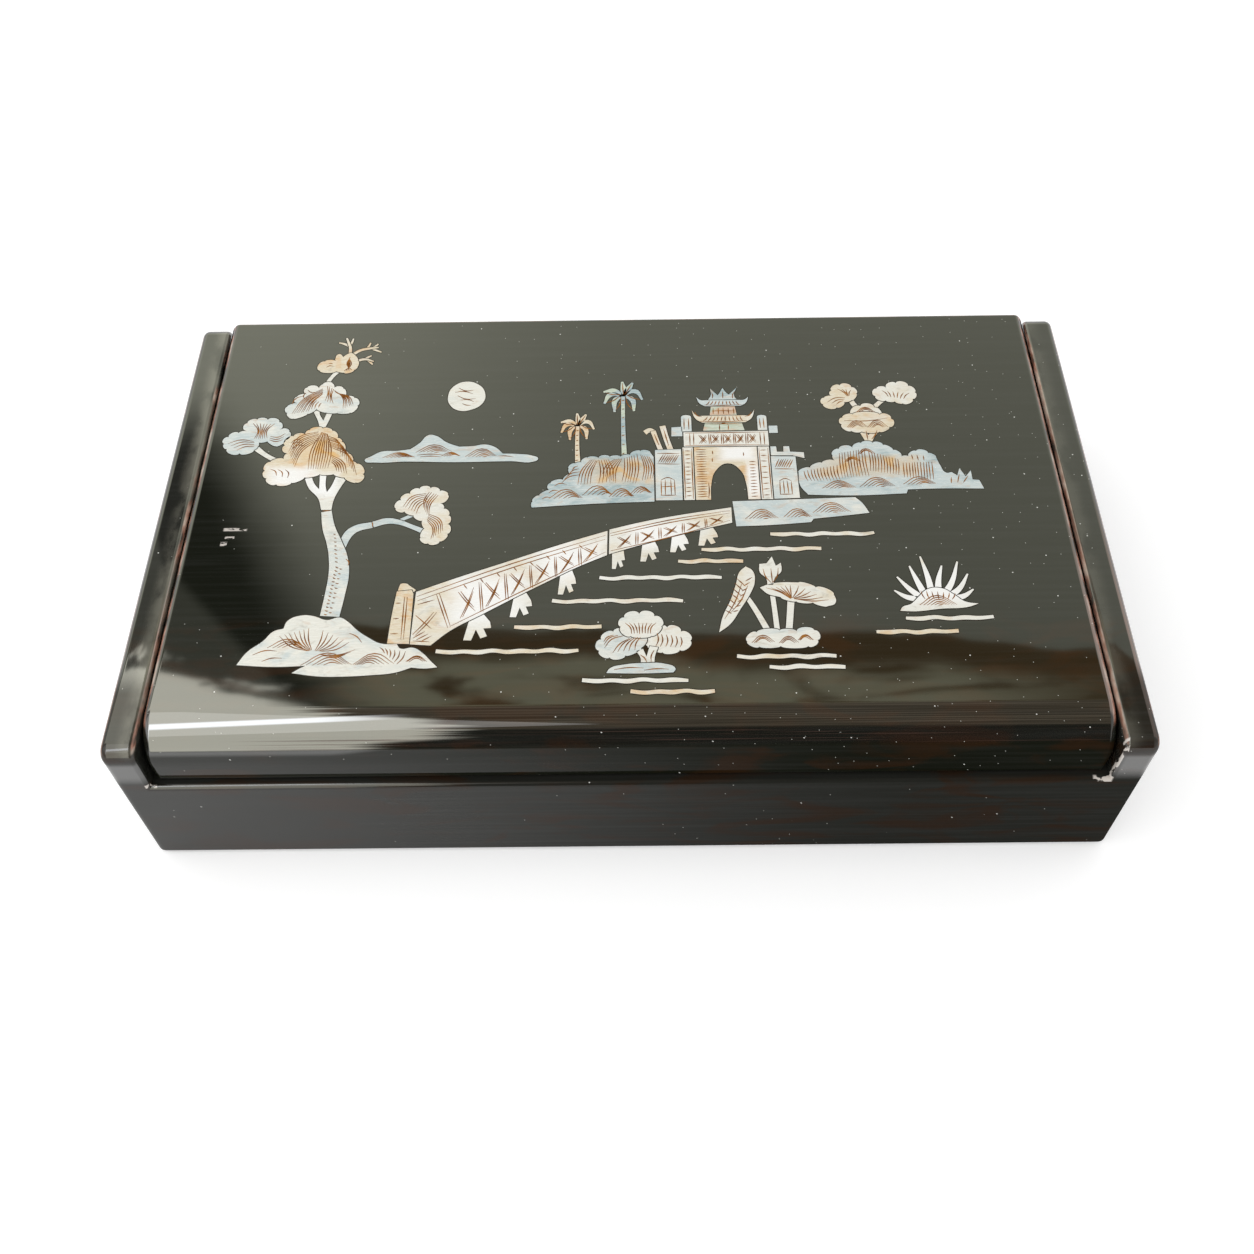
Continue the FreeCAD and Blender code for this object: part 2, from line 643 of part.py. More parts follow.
def ink_stone():
    """Slate with a raised rim. The grinding hill falls in one sweep into the well at the left end."""
    x0, y0 = stone_place()
    top = bottom_thickness + stone_thickness
    stone = upright_block(x0, y0, stone_length, stone_width, bottom_thickness, top, stone_corner_round)
    stone = chamfered(stone, stone_edge_bevel, lambda edge: is_at(edge, "z", top))
    inner_x0, inner_x1 = x0 + stone_rim, x0 + stone_length - stone_rim
    shore_x = inner_x0 + well_length
    hill_x = shore_x + well_slope_length
    well_z, hill_z = top - well_depth, top - hill_depth
    above = top + cutter_overshoot
    slope_round = well_slope_length
    hollow = prism([(inner_x0, well_z), (shore_x, well_z, slope_round), (hill_x, hill_z, slope_round),
                    (inner_x1, hill_z + hill_rise), (inner_x1, above), (inner_x0, above)],
                   "y", y0, y0 + stone_width)
    inside = upright_block(inner_x0, y0 + stone_rim, inner_x1 - inner_x0, stone_width - 2 * stone_rim,
                           bottom_thickness, above, stone_well_round)
    return stone.cut(hollow.common(inside))


def dropper_place():
    """Low corner of the water dropper, behind the middle of the ink stick."""
    return (stick_x + (stick_length - dropper_length) / 2,
            divider_front_y - dropper_back_margin - dropper_width)


def water_dropper():
    """A small glazed vessel with an air hole in the middle of its top and a pouring hole at one corner."""
    x0, y0 = dropper_place()
    top = bottom_thickness + dropper_height
    outer = upright_block(x0, y0, dropper_length, dropper_width, bottom_thickness, top, dropper_corner_round)
    outer = chamfered(outer, dropper_edge_bevel, lambda edge: is_at(edge, "z", top))
    wall = dropper_wall
    vessel = outer.cut(box((x0 + wall, y0 + wall, bottom_thickness + wall),
                           (x0 + dropper_length - wall, y0 + dropper_width - wall, top - wall)))
    air = (x0 + dropper_length / 2, y0 + dropper_width / 2)
    spout = (x0 + dropper_hole_inset, y0 + dropper_hole_inset)
    for x, y in (air, spout):
        vessel = vessel.cut(rod((x, y, top - 2 * wall), (x, y, top + cutter_overshoot), dropper_hole_radius))
    return vessel


def stick_place():
    return stick_x, front_inner_y + stick_front_margin


def ink_stick():
    """A bar of ink with bevelled edges and a shallow panel on its top."""
    x0, y0 = stick_place()
    low_z = bed_top - stick_bed_depth
    high_z = low_z + stick_thickness
    stick = box((x0, y0, low_z), (x0 + stick_length, y0 + stick_width, high_z))
    stick = chamfered(stick, stick_bevel, lambda edge: not is_at(edge, "z", low_z))
    margin = stick_panel_margin
    panel = upright_block(x0 + margin, y0 + margin, stick_length - 2 * margin, stick_width - 2 * margin,
                          high_z - stick_panel_depth, high_z + cutter_overshoot, margin)
    return stick.cut(panel)


def bed_board():
    """The loose board that beds the stone and the dropper in openings and the ink stick in a groove."""
    gap = fitting_clearance
    board = box((-rest_inner_x + gap, front_inner_y + gap, bottom_thickness),
                (rest_inner_x - gap, divider_front_y - gap, bed_top))
    x0, y0 = stone_place()
    board = board.cut(upright_block(x0 - gap, y0 - gap, stone_length + 2 * gap, stone_width + 2 * gap,
                                    0, bed_top + cutter_overshoot, stone_corner_round))
    x0, y0 = dropper_place()
    board = board.cut(upright_block(x0 - gap, y0 - gap, dropper_length + 2 * gap, dropper_width + 2 * gap,
                                    0, bed_top + cutter_overshoot, dropper_corner_round))
    x0, y0 = stick_place()
    return board.cut(box((x0 - gap, y0 - gap, bed_top - stick_bed_depth),
                         (x0 + stick_length + gap, y0 + stick_width + gap, bed_top + cutter_overshoot)))


def brush_axes():
    """Y of the large and the small brush, and the height of both."""
    middle_y = (divider_back_y + back_inner_y) / 2
    axis_z = bottom_thickness + brush_rest_height
    return middle_y - brush_spacing / 2, middle_y + brush_spacing / 2, axis_z


def brush_rests():
    """Two low blocks across the brush bay, notched for the handles."""
    large_y, small_y, axis_z = brush_axes()
    rests = []
    for x in brush_rest_x:
        rest = box((x - brush_rest_width / 2, divider_back_y, bottom_thickness),
                   (x + brush_rest_width / 2, back_inner_y, axis_z))
        for y, radius in ((large_y, large_handle_radius), (small_y, small_handle_radius)):
            rest = rest.cut(rod((x - brush_rest_width, y, axis_z), (x + brush_rest_width, y, axis_z),
                                radius + fitting_clearance))
        rests.append(rest)
    return rests


def turned(points, y, z):
    """A solid of revolution about a line along +X, from (x, radius) points that start and end on it."""
    solid = Part.Face(outline(points)).revolve(Vector(0, 0, 0), Vector(1, 0, 0), 360)
    solid.translate(Vector(0, y, z))
    return solid


def brush_handle(radius, y, z):
    """A slim bamboo cane with its far end eased."""
    start, end, bevel = brush_joint_x, handle_end_x, handle_end_bevel
    return turned([(start, 0), (end, 0), (end, radius - bevel), (end - bevel, radius), (start, radius)], y, z)


def ferrule(radius, y, z):
    """The horn collar that holds the hair."""
    return rod((brush_joint_x - ferrule_length, y, z), (brush_joint_x, y, z), radius + ferrule_step)


def tuft(radius, y, z):
    """The hair, drawn to a point in flat facets."""
    wide = radius + ferrule_step - tuft_inset
    rings = []
    for along, across in ((0.0, 0.9), (0.2, 1.0), (0.55, 0.8), (0.85, 0.3), (1.0, 0.02)):
        turns = [2 * pi * i / tuft_sides for i in range(tuft_sides)]
        rings.append([Vector(tuft_tip_x + tuft_length * (1 - along), y + wide * across * cos(a),
                             z + wide * across * sin(a)) for a in turns])
    faces = [Part.Face(Part.makePolygon(ring + ring[:1])) for ring in (rings[0], rings[-1])]
    for wider, next_ring in zip(rings, rings[1:]):
        for i in range(tuft_sides):
            facet = [wider[i - 1], wider[i], next_ring[i], next_ring[i - 1], wider[i - 1]]
            faces.append(Part.Face(Part.makePolygon(facet)))
    solid = Part.Solid(Part.Shell(faces))
    return solid if solid.Volume > 0 else solid.reversed()


def brush_cap(radius, y, z):
    """A bamboo sheath over the hair, open towards the handle."""
    bore = radius + ferrule_step + fitting_clearance
    mouth = brush_joint_x - ferrule_length + cap_overlap
    floor_x = cap_end_x + 2 * cap_wall
    end, outer = cap_end_x, bore + cap_wall
    return turned([(end, 0), (floor_x, 0), (floor_x, bore), (mouth, bore), (mouth, outer), (end, outer)],
                  y, z)


def build():
    wall = left_end_wall()
    export("left_end_wall", wall)
    export("right_end_wall", mirrored_in_x(wall))
    export("front_wall", cross_wall(-half_depth, front_inner_y))
    export("back_wall", cross_wall(half_depth, back_inner_y))
    export("bottom_board", bottom_panel())
    export("corner_pegs", *corner_pegs())
    rest = left_lid_rest()
    export("left_lid_rest", rest)
    export("right_lid_rest", mirrored_in_x(rest))
    export("bay_divider", bay_divider())
    export("pivot_pins", *pivot_pins())

    board, front_rail, hinge_rail, left_cleat, right_cleat = lid_parts(lid_blank())
    figures, pockets = inlay()
    pockets = [solid.common(box((-far, -far, lid_top - shell_pocket_depth), (far, far, far)))
               for solid in pockets.Solids]
    pockets = Part.makeCompound(pockets)
    export("lid_board", board.cut(pockets))
    export("lid_front_rail", front_rail)
    export("lid_hinge_rail", hinge_rail.cut(pockets))
    export("lid_left_cleat", left_cleat)
    export("lid_right_cleat", right_cleat)
    for name, plates in figures.items():
        export(name, *plates)

    export("bed_board", bed_board())
    export("ink_stone", ink_stone())
    export("water_dropper", water_dropper())
    export("ink_stick", ink_stick())
    export("brush_rests", *brush_rests())
    large_y, small_y, axis_z = brush_axes()
    for size, radius, y in (("large", large_handle_radius, large_y), ("small", small_handle_radius, small_y)):
        export(size + "_brush_handle", brush_handle(radius, y, axis_z))
        export(size + "_brush_ferrule", ferrule(radius, y, axis_z))
        export(size + "_brush_tuft", tuft(radius, y, axis_z))
    export("large_brush_cap", brush_cap(large_handle_radius, large_y, axis_z))


build()
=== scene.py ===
"""A black lacquered ink box with a mother-of-pearl landscape on its hinged lid."""
import random
from math import pi, radians, sin

import bmesh
import bpy
from mathutils import Euler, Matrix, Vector


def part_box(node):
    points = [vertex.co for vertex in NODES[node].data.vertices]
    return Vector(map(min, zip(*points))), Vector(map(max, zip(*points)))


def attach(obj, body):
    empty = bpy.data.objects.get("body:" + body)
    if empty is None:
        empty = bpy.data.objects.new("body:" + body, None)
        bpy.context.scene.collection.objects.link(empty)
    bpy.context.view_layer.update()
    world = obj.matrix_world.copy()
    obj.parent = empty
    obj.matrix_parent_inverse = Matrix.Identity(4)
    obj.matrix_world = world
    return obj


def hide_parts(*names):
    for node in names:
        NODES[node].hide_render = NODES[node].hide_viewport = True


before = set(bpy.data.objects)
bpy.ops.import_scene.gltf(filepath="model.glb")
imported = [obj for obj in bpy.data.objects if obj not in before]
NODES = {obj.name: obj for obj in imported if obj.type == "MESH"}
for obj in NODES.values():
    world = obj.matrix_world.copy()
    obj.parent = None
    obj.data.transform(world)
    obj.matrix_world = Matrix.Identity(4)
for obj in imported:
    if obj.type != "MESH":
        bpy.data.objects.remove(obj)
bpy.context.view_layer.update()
MM = 0.001


# Sizes, in millimetres, read off the solids
def box_mm(node):
    low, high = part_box(node)
    return [v / MM for v in low], [v / MM for v in high]


WALL_LOW, WALL_HIGH = box_mm("left_end_wall")
RIM_HIGH = box_mm("front_wall")[1]
FLOOR_HIGH = box_mm("bottom_board")[1]
BOARD_LOW = box_mm("lid_board")[0]
RAIL_LOW, RAIL_HIGH = box_mm("lid_hinge_rail")
CLEAT_LOW, CLEAT_HIGH = box_mm("lid_left_cleat")
HALF_LENGTH = -WALL_LOW[0]
INNER_X = -WALL_HIGH[0]
HALF_DEPTH = WALL_HIGH[1]
WALL_TOP = WALL_HIGH[2]
RIM_TOP = RIM_HIGH[2]
LID_X = -CLEAT_LOW[0]
LID_FRONT, LID_BACK = -68.0, RAIL_HIGH[1]
LID_LOW, LID_TOP = RAIL_LOW[2], RAIL_HIGH[2]
NOSE_ROUND, HINGE_ROUND = 10.0, 7.5
CORNER_ROUND, OUTER_ROUND, INNER_ROUND = 3.5, 1.9, 1.2
SMALL_ROUND, BACK_EDGE_ROUND = 0.6, 0.8


# Materials
class Wire:
    """A socket in a material. Arithmetic on it adds Math nodes."""

    def __init__(self, paint, socket):
        self.paint, self.socket = paint, socket

    def math(self, operation, *others):
        values = {i + 1: other for i, other in enumerate(others)}
        return self.paint.node("ShaderNodeMath", {"operation": operation}, {0: self, **values})

    def __add__(self, other):
        return self.math("ADD", other)

    def __sub__(self, other):
        return self.math("SUBTRACT", other)

    def __mul__(self, other):
        return self.math("MULTIPLY", other)

    def __rsub__(self, other):
        return self.paint.node("ShaderNodeMath", {"operation": "SUBTRACT"}, {0: other, 1: self})

    __radd__, __rmul__ = __add__, __mul__

    def abs(self):
        return self.math("ABSOLUTE")

    def between(self, start, end):
        """0 before start, 1 after end, with a smooth step. start may be the larger."""
        settings = {"interpolation_type": "SMOOTHSTEP"}
        return self.paint.node("ShaderNodeMapRange", settings, {0: self, 1: start, 2: end, 3: 0.0, 4: 1.0})


class Tree:
    """The nodes of a material or a world."""

    def __init__(self, tree):
        self.tree = tree

    def node(self, kind, settings, values, output=0):
        """Any node, with its settings first and then the values or links of its sockets."""
        node = self.tree.nodes.new(kind)
        for key, value in settings.items():
            setattr(node, key, value)
        for key, value in values.items():
            if isinstance(value, Wire):
                self.tree.links.new(value.socket, node.inputs[key])
            else:
                node.inputs[key].default_value = value
        return Wire(self, node.outputs[output])

    def mix(self, share, below, above):
        """A colour that goes from one to the other."""
        colors = [c if isinstance(c, Wire) else (*c, 1.0) for c in (below, above)]
        return self.node("ShaderNodeMix", {"data_type": "RGBA"}, {0: share, 6: colors[0], 7: colors[1]}, 2)


class Paint(Tree):
    """A material for one finish."""

    def __init__(self, name, color, roughness, **sockets):
        self.material = bpy.data.materials.new(name)
        self.material.use_nodes = True
        super().__init__(self.material.node_tree)
        self.shader = self.tree.nodes["Principled BSDF"]
        self.set(**{"Base Color": (*color, 1.0), "Roughness": roughness}, **sockets)
        self.place = self.node("ShaderNodeTexCoord", {}, {}, "Object")
        self.x, self.y, self.z = (self.axis(i) for i in range(3))

    def axis(self, i):
        """A coordinate in millimetres."""
        return self.node("ShaderNodeSeparateXYZ", {}, {0: self.place}, i) * (1 / MM)

    def set(self, **values):
        for key, value in values.items():
            if isinstance(value, Wire):
                self.tree.links.new(value.socket, self.shader.inputs[key])
            else:
                self.shader.inputs[key].default_value = value

    def moved(self, grain, shift=(0.0, 0.0, 0.0)):
        """The place, in grains of that size in millimetres along X, Y and Z."""
        values = {0: self.place, 1: shift, 3: tuple(1 / (g * MM) for g in grain)}
        return self.node("ShaderNodeMapping", {"vector_type": "POINT"}, values)

    def noise(self, grain, detail=3.0, warp=0.0, shift=(0.0, 0.0, 0.0)):
        values = {"Vector": self.moved(grain, shift), "Scale": 1.0, "Detail": detail, "Distortion": warp}
        return self.node("ShaderNodeTexNoise", {}, values)

    def specks(self, spacing, radius, share):
        """Small round dots in a share of squares. The squares lean, so that no face shows streaks."""
        flat = self.node("ShaderNodeCombineXYZ", {}, {0: self.x + self.z * 0.6, 1: self.y + self.z * 0.8})
        settings = {"voronoi_dimensions": "2D", "feature": "F1"}
        values = {"Vector": flat, "Scale": 1.0 / spacing}
        distance = self.node("ShaderNodeTexVoronoi", settings, values, "Distance")
        tint = self.node("ShaderNodeTexVoronoi", settings, values, "Color")
        luck = self.node("ShaderNodeSeparateColor", {}, {0: tint}, 0)
        dot = distance.between(radius / spacing, 0.6 * radius / spacing)
        return dot * (luck - share).between(0.0, -0.02)

    def near(self, x, y, z, reach, soft=0.2):
        """1 about a place, within a reach along X, Y and Z, and 0 beyond it."""
        places = zip((self.x, self.y, self.z), (x, y, z), reach)
        away = [((here - there) * (1 / r)).abs() for here, there, r in places]
        return away[0].math("MAXIMUM", away[1]).math("MAXIMUM", away[2]).between(1.0, 1.0 - soft)

    def bump(self, height, distance, strength=1.0):
        values = {"Strength": strength, "Distance": distance * MM, "Height": height}
        self.set(Normal=self.node("ShaderNodeBump", {}, values))


BLACK = (0.0075, 0.0085, 0.0050)
BROWN = (0.030, 0.012, 0.004)
# Colours of the thin edge lines: partly the ground showing where the lacquer is worn, partly painted
# highlights.
WORN_AND_HIGHLIGHT_RED, WORN_AND_HIGHLIGHT_PALE = (0.40, 0.17, 0.11), (0.62, 0.49, 0.40)
CREAM, PEARL = (0.74, 0.64, 0.46), (0.80, 0.79, 0.71)
PALE_BLUE, BLUE_GREY = (0.55, 0.63, 0.63), (0.34, 0.45, 0.47)
PALE_GREEN, ROSE = (0.52, 0.60, 0.47), (0.62, 0.43, 0.29)
AMBER = (0.68, 0.36, 0.10)


def lacquer(name, black, edge, gloss, marks_and_highlights, **sockets):
    """Deep black over a brown ground. The edge mask marks thin lines that are partly where the black has
    rubbed through and partly painted highlights along the edges.
    """
    paint = Paint(name, black, gloss, **sockets)
    grain = paint.noise((46.0, 1.1, 1.1), 4.0)
    cloud = paint.noise((26.0, 9.0, 9.0), 5.0, 1.2)
    body = paint.mix(grain.between(0.38, 0.72) * 0.6, black, tuple(c + 0.010 for c in black))
    # Brown clouds along the front: partly the brown ground under thin lacquer, partly a painted reflection
    # of dark brown surroundings.
    thin_lacquer_and_reflection = paint.y.between(-30.0, -38.0) * cloud.between(0.46, 0.66) * 0.6
    body = paint.mix(thin_lacquer_and_reflection, body, BROWN)
    # Thin edge lines in red and pale tones: partly worn lacquer, partly painted highlights along the edges.
    rub_and_highlight_noise = paint.noise((9.0, 9.0, 2.0), 3.0)
    body = paint.mix(edge(paint) * rub_and_highlight_noise.between(0.36, 0.56), body,
                     paint.mix(rub_and_highlight_noise.between(0.5, 0.66), WORN_AND_HIGHLIGHT_RED, WORN_AND_HIGHLIGHT_PALE))
    share = (paint.x.between(-90.0, 60.0) * 0.28 + 0.12) * (paint.z.between(30.0, 48.0) * 0.7 + 0.3)
    body = paint.mix(paint.specks(4.0, 0.13, share), body, (0.50, 0.50, 0.46))
    body = paint.mix(paint.specks(11.0, 0.21, share), body, (0.70, 0.70, 0.66))
    # A pale grey band on the end walls' tops along their inner edges, mottled and stronger towards the
    # left.
    pale_inner_band = (paint.x.abs() - INNER_X).between(5.0, 1.0) * paint.z.between(WALL_TOP - 3.0, WALL_TOP - 1.0)
    pale_inner_band = pale_inner_band * (paint.x.between(60.0, -60.0) * 0.6 + 0.4)
    pale_inner_band = pale_inner_band * paint.noise((5.0, 9.0, 5.0), 5.0).between(0.30, 0.62)
    body = paint.mix(pale_inner_band * (paint.x.abs() - INNER_X).between(-0.5, 0.2), body, (0.135, 0.13, 0.105))
    flake = paint.noise((2.4, 0.9, 2.4), 2.0)
    # Pale chips and scratches, and on the walls one painted highlight in the left notch corner.
    for pale_spot in marks_and_highlights:
        body = paint.mix(paint.near(*pale_spot) * flake.between(0.44, 0.50), body, (0.62, 0.57, 0.52))
    haze = paint.noise((18.0, 14.0, 14.0), 4.0, 0.6)
    paint.set(**{"Base Color": body, "Roughness": haze.between(0.3, 0.8) * gloss + gloss * 0.6})
    paint.bump(paint.noise((30.0, 14.0, 14.0), 2.0) + grain * 0.05, 0.10, 0.6)
    return paint


def lid_wear_and_highlight_lines(paint):
    """A thin line along the lid's ends, and a broken one along its back: partly lacquer rubbed through,
    partly a painted highlight on the edges.
    """
    side = (LID_X - paint.x.abs()).between(1.3, 0.6) * paint.z.between(LID_TOP - 2.6, LID_TOP - 1.6)
    back = (LID_BACK - paint.y).between(0.9, 0.4) * paint.z.between(LID_TOP - 1.0, LID_TOP - 0.5) * 0.5
    return side + back


def wall_wear_and_highlight_lines(paint):
    """A thin line along the inner top edges of the end walls, and a fainter one outside: partly lacquer
    rubbed through, partly a painted highlight on the edges.
    """
    inner = (paint.x.abs() - INNER_X).between(0.8, 0.4) * paint.z.between(WALL_TOP - 1.6, WALL_TOP - 0.9)
    outer = (HALF_LENGTH - paint.x.abs()).between(0.9, 0.5)
    outer = outer * paint.z.between(WALL_TOP - 2.2, WALL_TOP - 1.4)
    return inner * 0.9 + outer * 0.5


def nacre():
    """Shell. Each plate has its own place between cream, pearl, pale blue, green and pink, and white
    highlights are painted on at set places.
    """
    paint = Paint("nacre", (0.80, 0.76, 0.68), 0.22,
                  **{"IOR": 1.53, "Coat Weight": 0.3, "Coat Roughness": 0.08})
    own = paint.node("ShaderNodeAttribute", {"attribute_name": "tint"}, {}, "Fac")
    drift = paint.noise((9.0, 5.0, 9.0), 2.0, 0.8)
    layer = paint.noise((3.5, 0.7, 3.0), 3.0, 1.6)
    shade = own + drift * 0.5 - 0.25
    body = CREAM
    for start, end, color in ((0.10, 0.28, PEARL), (0.36, 0.56, PALE_BLUE), (0.62, 0.74, BLUE_GREY),
                              (0.78, 0.86, PALE_GREEN), (0.90, 0.97, ROSE)):
        body = paint.mix(shade.between(start, end), body, color)
    rosy = paint.noise((5.0, 2.0, 5.0), 3.0, 1.0, (0.03, 0, 0)).between(0.56, 0.72)
    body = paint.mix(rosy * 0.4, body, ROSE)
    wash = paint.noise((6.0, 5.0, 7.0), 3.0, 0.8, (0.0, 0.05, 0.0)).between(0.47, 0.62)
    body = paint.mix(wash * own.between(0.24, 0.06) * 0.6, body, AMBER)
    dusk = paint.noise((4.0, 2.4, 4.0), 4.0, 1.2, (0.02, 0.08, 0.0)).between(0.56, 0.76)
    body = paint.mix(dusk * 0.4, body, (0.36, 0.34, 0.28))
    body = paint.mix(layer.between(0.40, 0.66) * 0.3, body, (0.86, 0.85, 0.79))
    for x, y, reach in ((-2.0, 12.4, (11.0, 5.5, 9.0)), (62.0, 13.4, (17.0, 4.6, 9.0)),
                        (-81.0, 21.0, (7.0, 7.0, 9.0))):
        body = paint.mix(paint.near(x, y, LID_TOP, reach, 0.6) * (wash * 0.45 + 0.32), body,
                         (0.78, 0.46, 0.14))
    # Painted highlights: near-white patches where the shell shows bright glare, on the pine, the bridge,
    # the gate wall and the reeds.
    for x, y, reach in ((-87.0, 12.0, (9.0, 5.0, 9.0)), (-78.0, 9.0, (5.0, 6.0, 9.0)),
                        (-34.0, -28.0, (13.0, 11.0, 9.0)), (-14.0, -17.0, (12.0, 9.0, 9.0)),
                        (8.0, -9.0, (12.0, 6.0, 9.0)), (29.0, 18.4, (7.0, 3.6, 9.0)),
                        (32.6, 9.0, (2.4, 9.0, 9.0)), (74.0, -25.0, (12.0, 8.0, 9.0))):
        body = paint.mix(paint.near(x, y, LID_TOP, reach, 0.7) * 0.9, body, (0.95, 0.95, 0.93))
    paint.set(**{"Base Color": body, "Roughness": layer * 0.14 + 0.20})
    paint.bump(layer, 0.05, 0.5)
    return paint.material


def plain(name, color, roughness, second=None, grain=(6.0, 6.0, 6.0), rise=0.0, **sockets):
    """A finish with a slow change of tone and an even bump."""
    paint = Paint(name, color, roughness, **sockets)
    tone = paint.noise(grain, 4.0)
    paint.set(**{"Base Color": paint.mix(tone.between(0.35, 0.7), color,
                                         second or tuple(0.7 * c for c in color)),
                 "Roughness": tone * 0.12 + (roughness - 0.06)})
    if rise:
        paint.bump(tone, rise)
    return paint.material


def glazed():
    """White porcelain with a thin blue line round its shoulder and its foot."""
    paint = Paint("porcelain", (0.74, 0.78, 0.78), 0.12)
    flow = paint.noise((14.0, 14.0, 14.0), 4.0)
    low, high = box_mm("water_dropper")
    line = (paint.z - high[2] + 3.2).abs().between(0.70, 0.50)
    line = line + (paint.z - low[2] - 2.0).abs().between(0.50, 0.35)
    body = paint.mix(flow.between(0.35, 0.7), (0.74, 0.78, 0.78), (0.66, 0.72, 0.74))
    paint.set(**{"Base Color": paint.mix(line * (flow * 0.4 + 0.6), body, (0.035, 0.075, 0.26))})
    paint.bump(flow, 0.05)
    return paint.material


SCRATCHES = ((-98.6, -5.4, LID_TOP, (3.2, 0.55, 2.0)), (-99.6, -8.0, LID_TOP, (1.3, 0.4, 2.0)),
             (-100.8, -10.0, LID_TOP, (0.9, 0.7, 2.0)))
# Pale chips at the right notch and along the rim. The last one, in the left notch corner where the rim
# meets the end wall, is a painted highlight.
CHIPS_AND_HIGHLIGHT = ((INNER_X, -HALF_DEPTH, WALL_TOP - 1.0, (0.9, 2.6, 2.0)),
         (INNER_X, -HALF_DEPTH, 41.0, (0.5, 1.6, 7.0)),
         (INNER_X - 1.5, -HALF_DEPTH, RIM_TOP, (2.4, 1.4, 1.1)),
         (-INNER_X, -HALF_DEPTH, RIM_TOP + 0.6, (1.3, 1.2, 1.0)))
POLISH = {"Coat IOR": 2.0, "Coat Roughness": 0.03, "Coat Weight": 1.0}
mirror = lacquer("lid_lacquer", BLACK, lid_wear_and_highlight_lines, 0.03, SCRATCHES, **{"Specular IOR Level": 0.0}, **POLISH)
nose_height = mirror.z + mirror.x.between(-50.0, -70.0) * 1.6
under_nose = mirror.y.between(-56.0, -60.0) * nose_height.between(46.6, 45.4)
mirror.set(**{"Coat Weight": 1.0 - under_nose * (0.99 - mirror.x.between(60.0, -110.0) * 0.38)})
LID_LACQUER = mirror.material
satin = lacquer("wall_lacquer", (0.017, 0.0175, 0.0145), wall_wear_and_highlight_lines, 0.10, CHIPS_AND_HIGHLIGHT,
                **{"Specular IOR Level": 0.0}, **POLISH)
low_polish = satin.x.between(70.0, -110.0) * 0.37 + 0.03
rubbed = satin.z.between(RIM_TOP - 1.0, RIM_TOP + 6.0).math("MAXIMUM", low_polish)
satin.set(**{"Coat Weight": rubbed - satin.y.between(-46.0, -54.0) * satin.z.between(44.0, 46.0) * 0.65})
WALL_LACQUER = satin.material
NACRE = nacre()
ENGRAVING = plain("engraving", (0.17, 0.058, 0.010), 0.8, (0.36, 0.15, 0.03), (2.5, 2.5, 2.5), 0.0,
                  **{"Specular IOR Level": 0.12})
SEAT = plain("seat_lacquer", (0.008, 0.006, 0.004), 0.25, (0.022, 0.012, 0.006), (9.0, 9.0, 9.0))
BRASS = plain("brass", (0.72, 0.52, 0.22), 0.3, (0.55, 0.36, 0.14), (2.0, 2.0, 2.0), 0.0, Metallic=1.0)
RED_LACQUER = plain("red_lacquer", (0.19, 0.022, 0.013), 0.2, (0.12, 0.012, 0.008), (20.0, 8.0, 8.0), 0.05)
SLATE = plain("slate", (0.040, 0.042, 0.050), 0.5, (0.026, 0.028, 0.035), (3.0, 3.0, 3.0), 0.03)
PORCELAIN = glazed()
INK = plain("pressed_ink", (0.016, 0.016, 0.018), 0.4, (0.024, 0.023, 0.024), (3.0, 3.0, 3.0), 0.02)
BAMBOO = plain("bamboo", (0.56, 0.38, 0.18), 0.35, (0.42, 0.25, 0.10), (30.0, 0.7, 0.7), 0.03)
HORN = plain("horn", (0.045, 0.030, 0.020), 0.2, (0.09, 0.055, 0.03), (8.0, 3.0, 3.0))
HAIR = plain("hair", (0.66, 0.55, 0.40), 0.6, (0.42, 0.32, 0.20), (14.0, 0.35, 0.35), 0.12)


# Modelling by hand
def only(piece):
    bpy.ops.object.select_all(action="DESELECT")
    piece.select_set(True)
    bpy.context.view_layer.objects.active = piece


def block(name, low, high):
    """A box to be shaped, left in edit mode with nothing selected."""
    bpy.ops.object.select_all(action="DESELECT")
    middle = [(a + b) / 2 * MM for a, b in zip(low, high)]
    bpy.ops.mesh.primitive_cube_add(size=1.0, location=middle,
                                    scale=[(b - a) * MM for a, b in zip(low, high)])
    piece = bpy.context.object
    piece.name = piece.data.name = name
    bpy.ops.object.transform_apply(location=True, rotation=True, scale=True)
    bpy.ops.object.mode_set(mode="EDIT")
    bpy.ops.mesh.select_all(action="DESELECT")
    return piece


def select(piece, kind, test):
    """Selects the edges or faces whose middle and corners, in millimetres, pass the test."""
    bpy.ops.mesh.select_mode(type={"edges": "EDGE", "faces": "FACE"}[kind])
    bpy.ops.mesh.select_all(action="DESELECT")
    work = bmesh.from_edit_mesh(piece.data)
    for item in getattr(work, kind):
        corners = [v.co / MM for v in item.verts]
        if test(corners):
            item.select_set(True)
    work.select_flush_mode()
    bmesh.update_edit_mesh(piece.data)


def at(axis, *places):
    """A test that every corner lies at one of those places along the axis."""
    return lambda corners: any(all(abs(c[axis] - place) < 0.02 for c in corners) for place in places)


def both(*tests):
    return lambda corners: all(test(corners) for test in tests)


def cut(axis, place):
    """A ring of edges right round the piece."""
    spot, normal = [0.0] * 3, [0.0] * 3
    spot[axis], normal[axis] = place * MM, 1.0
    bpy.ops.mesh.select_all(action="SELECT")
    bpy.ops.mesh.bisect(plane_co=spot, plane_no=normal)


def extrude(offset):
    bpy.ops.mesh.extrude_region_move(TRANSFORM_OT_translate={"value": [v * MM for v in offset]})


def shift(offset):
    bpy.ops.transform.translate(value=[v * MM for v in offset])


def bevel(width, segments):
    bpy.ops.mesh.bevel(offset=width * MM, segments=segments, affect="EDGES", clamp_overlap=False)


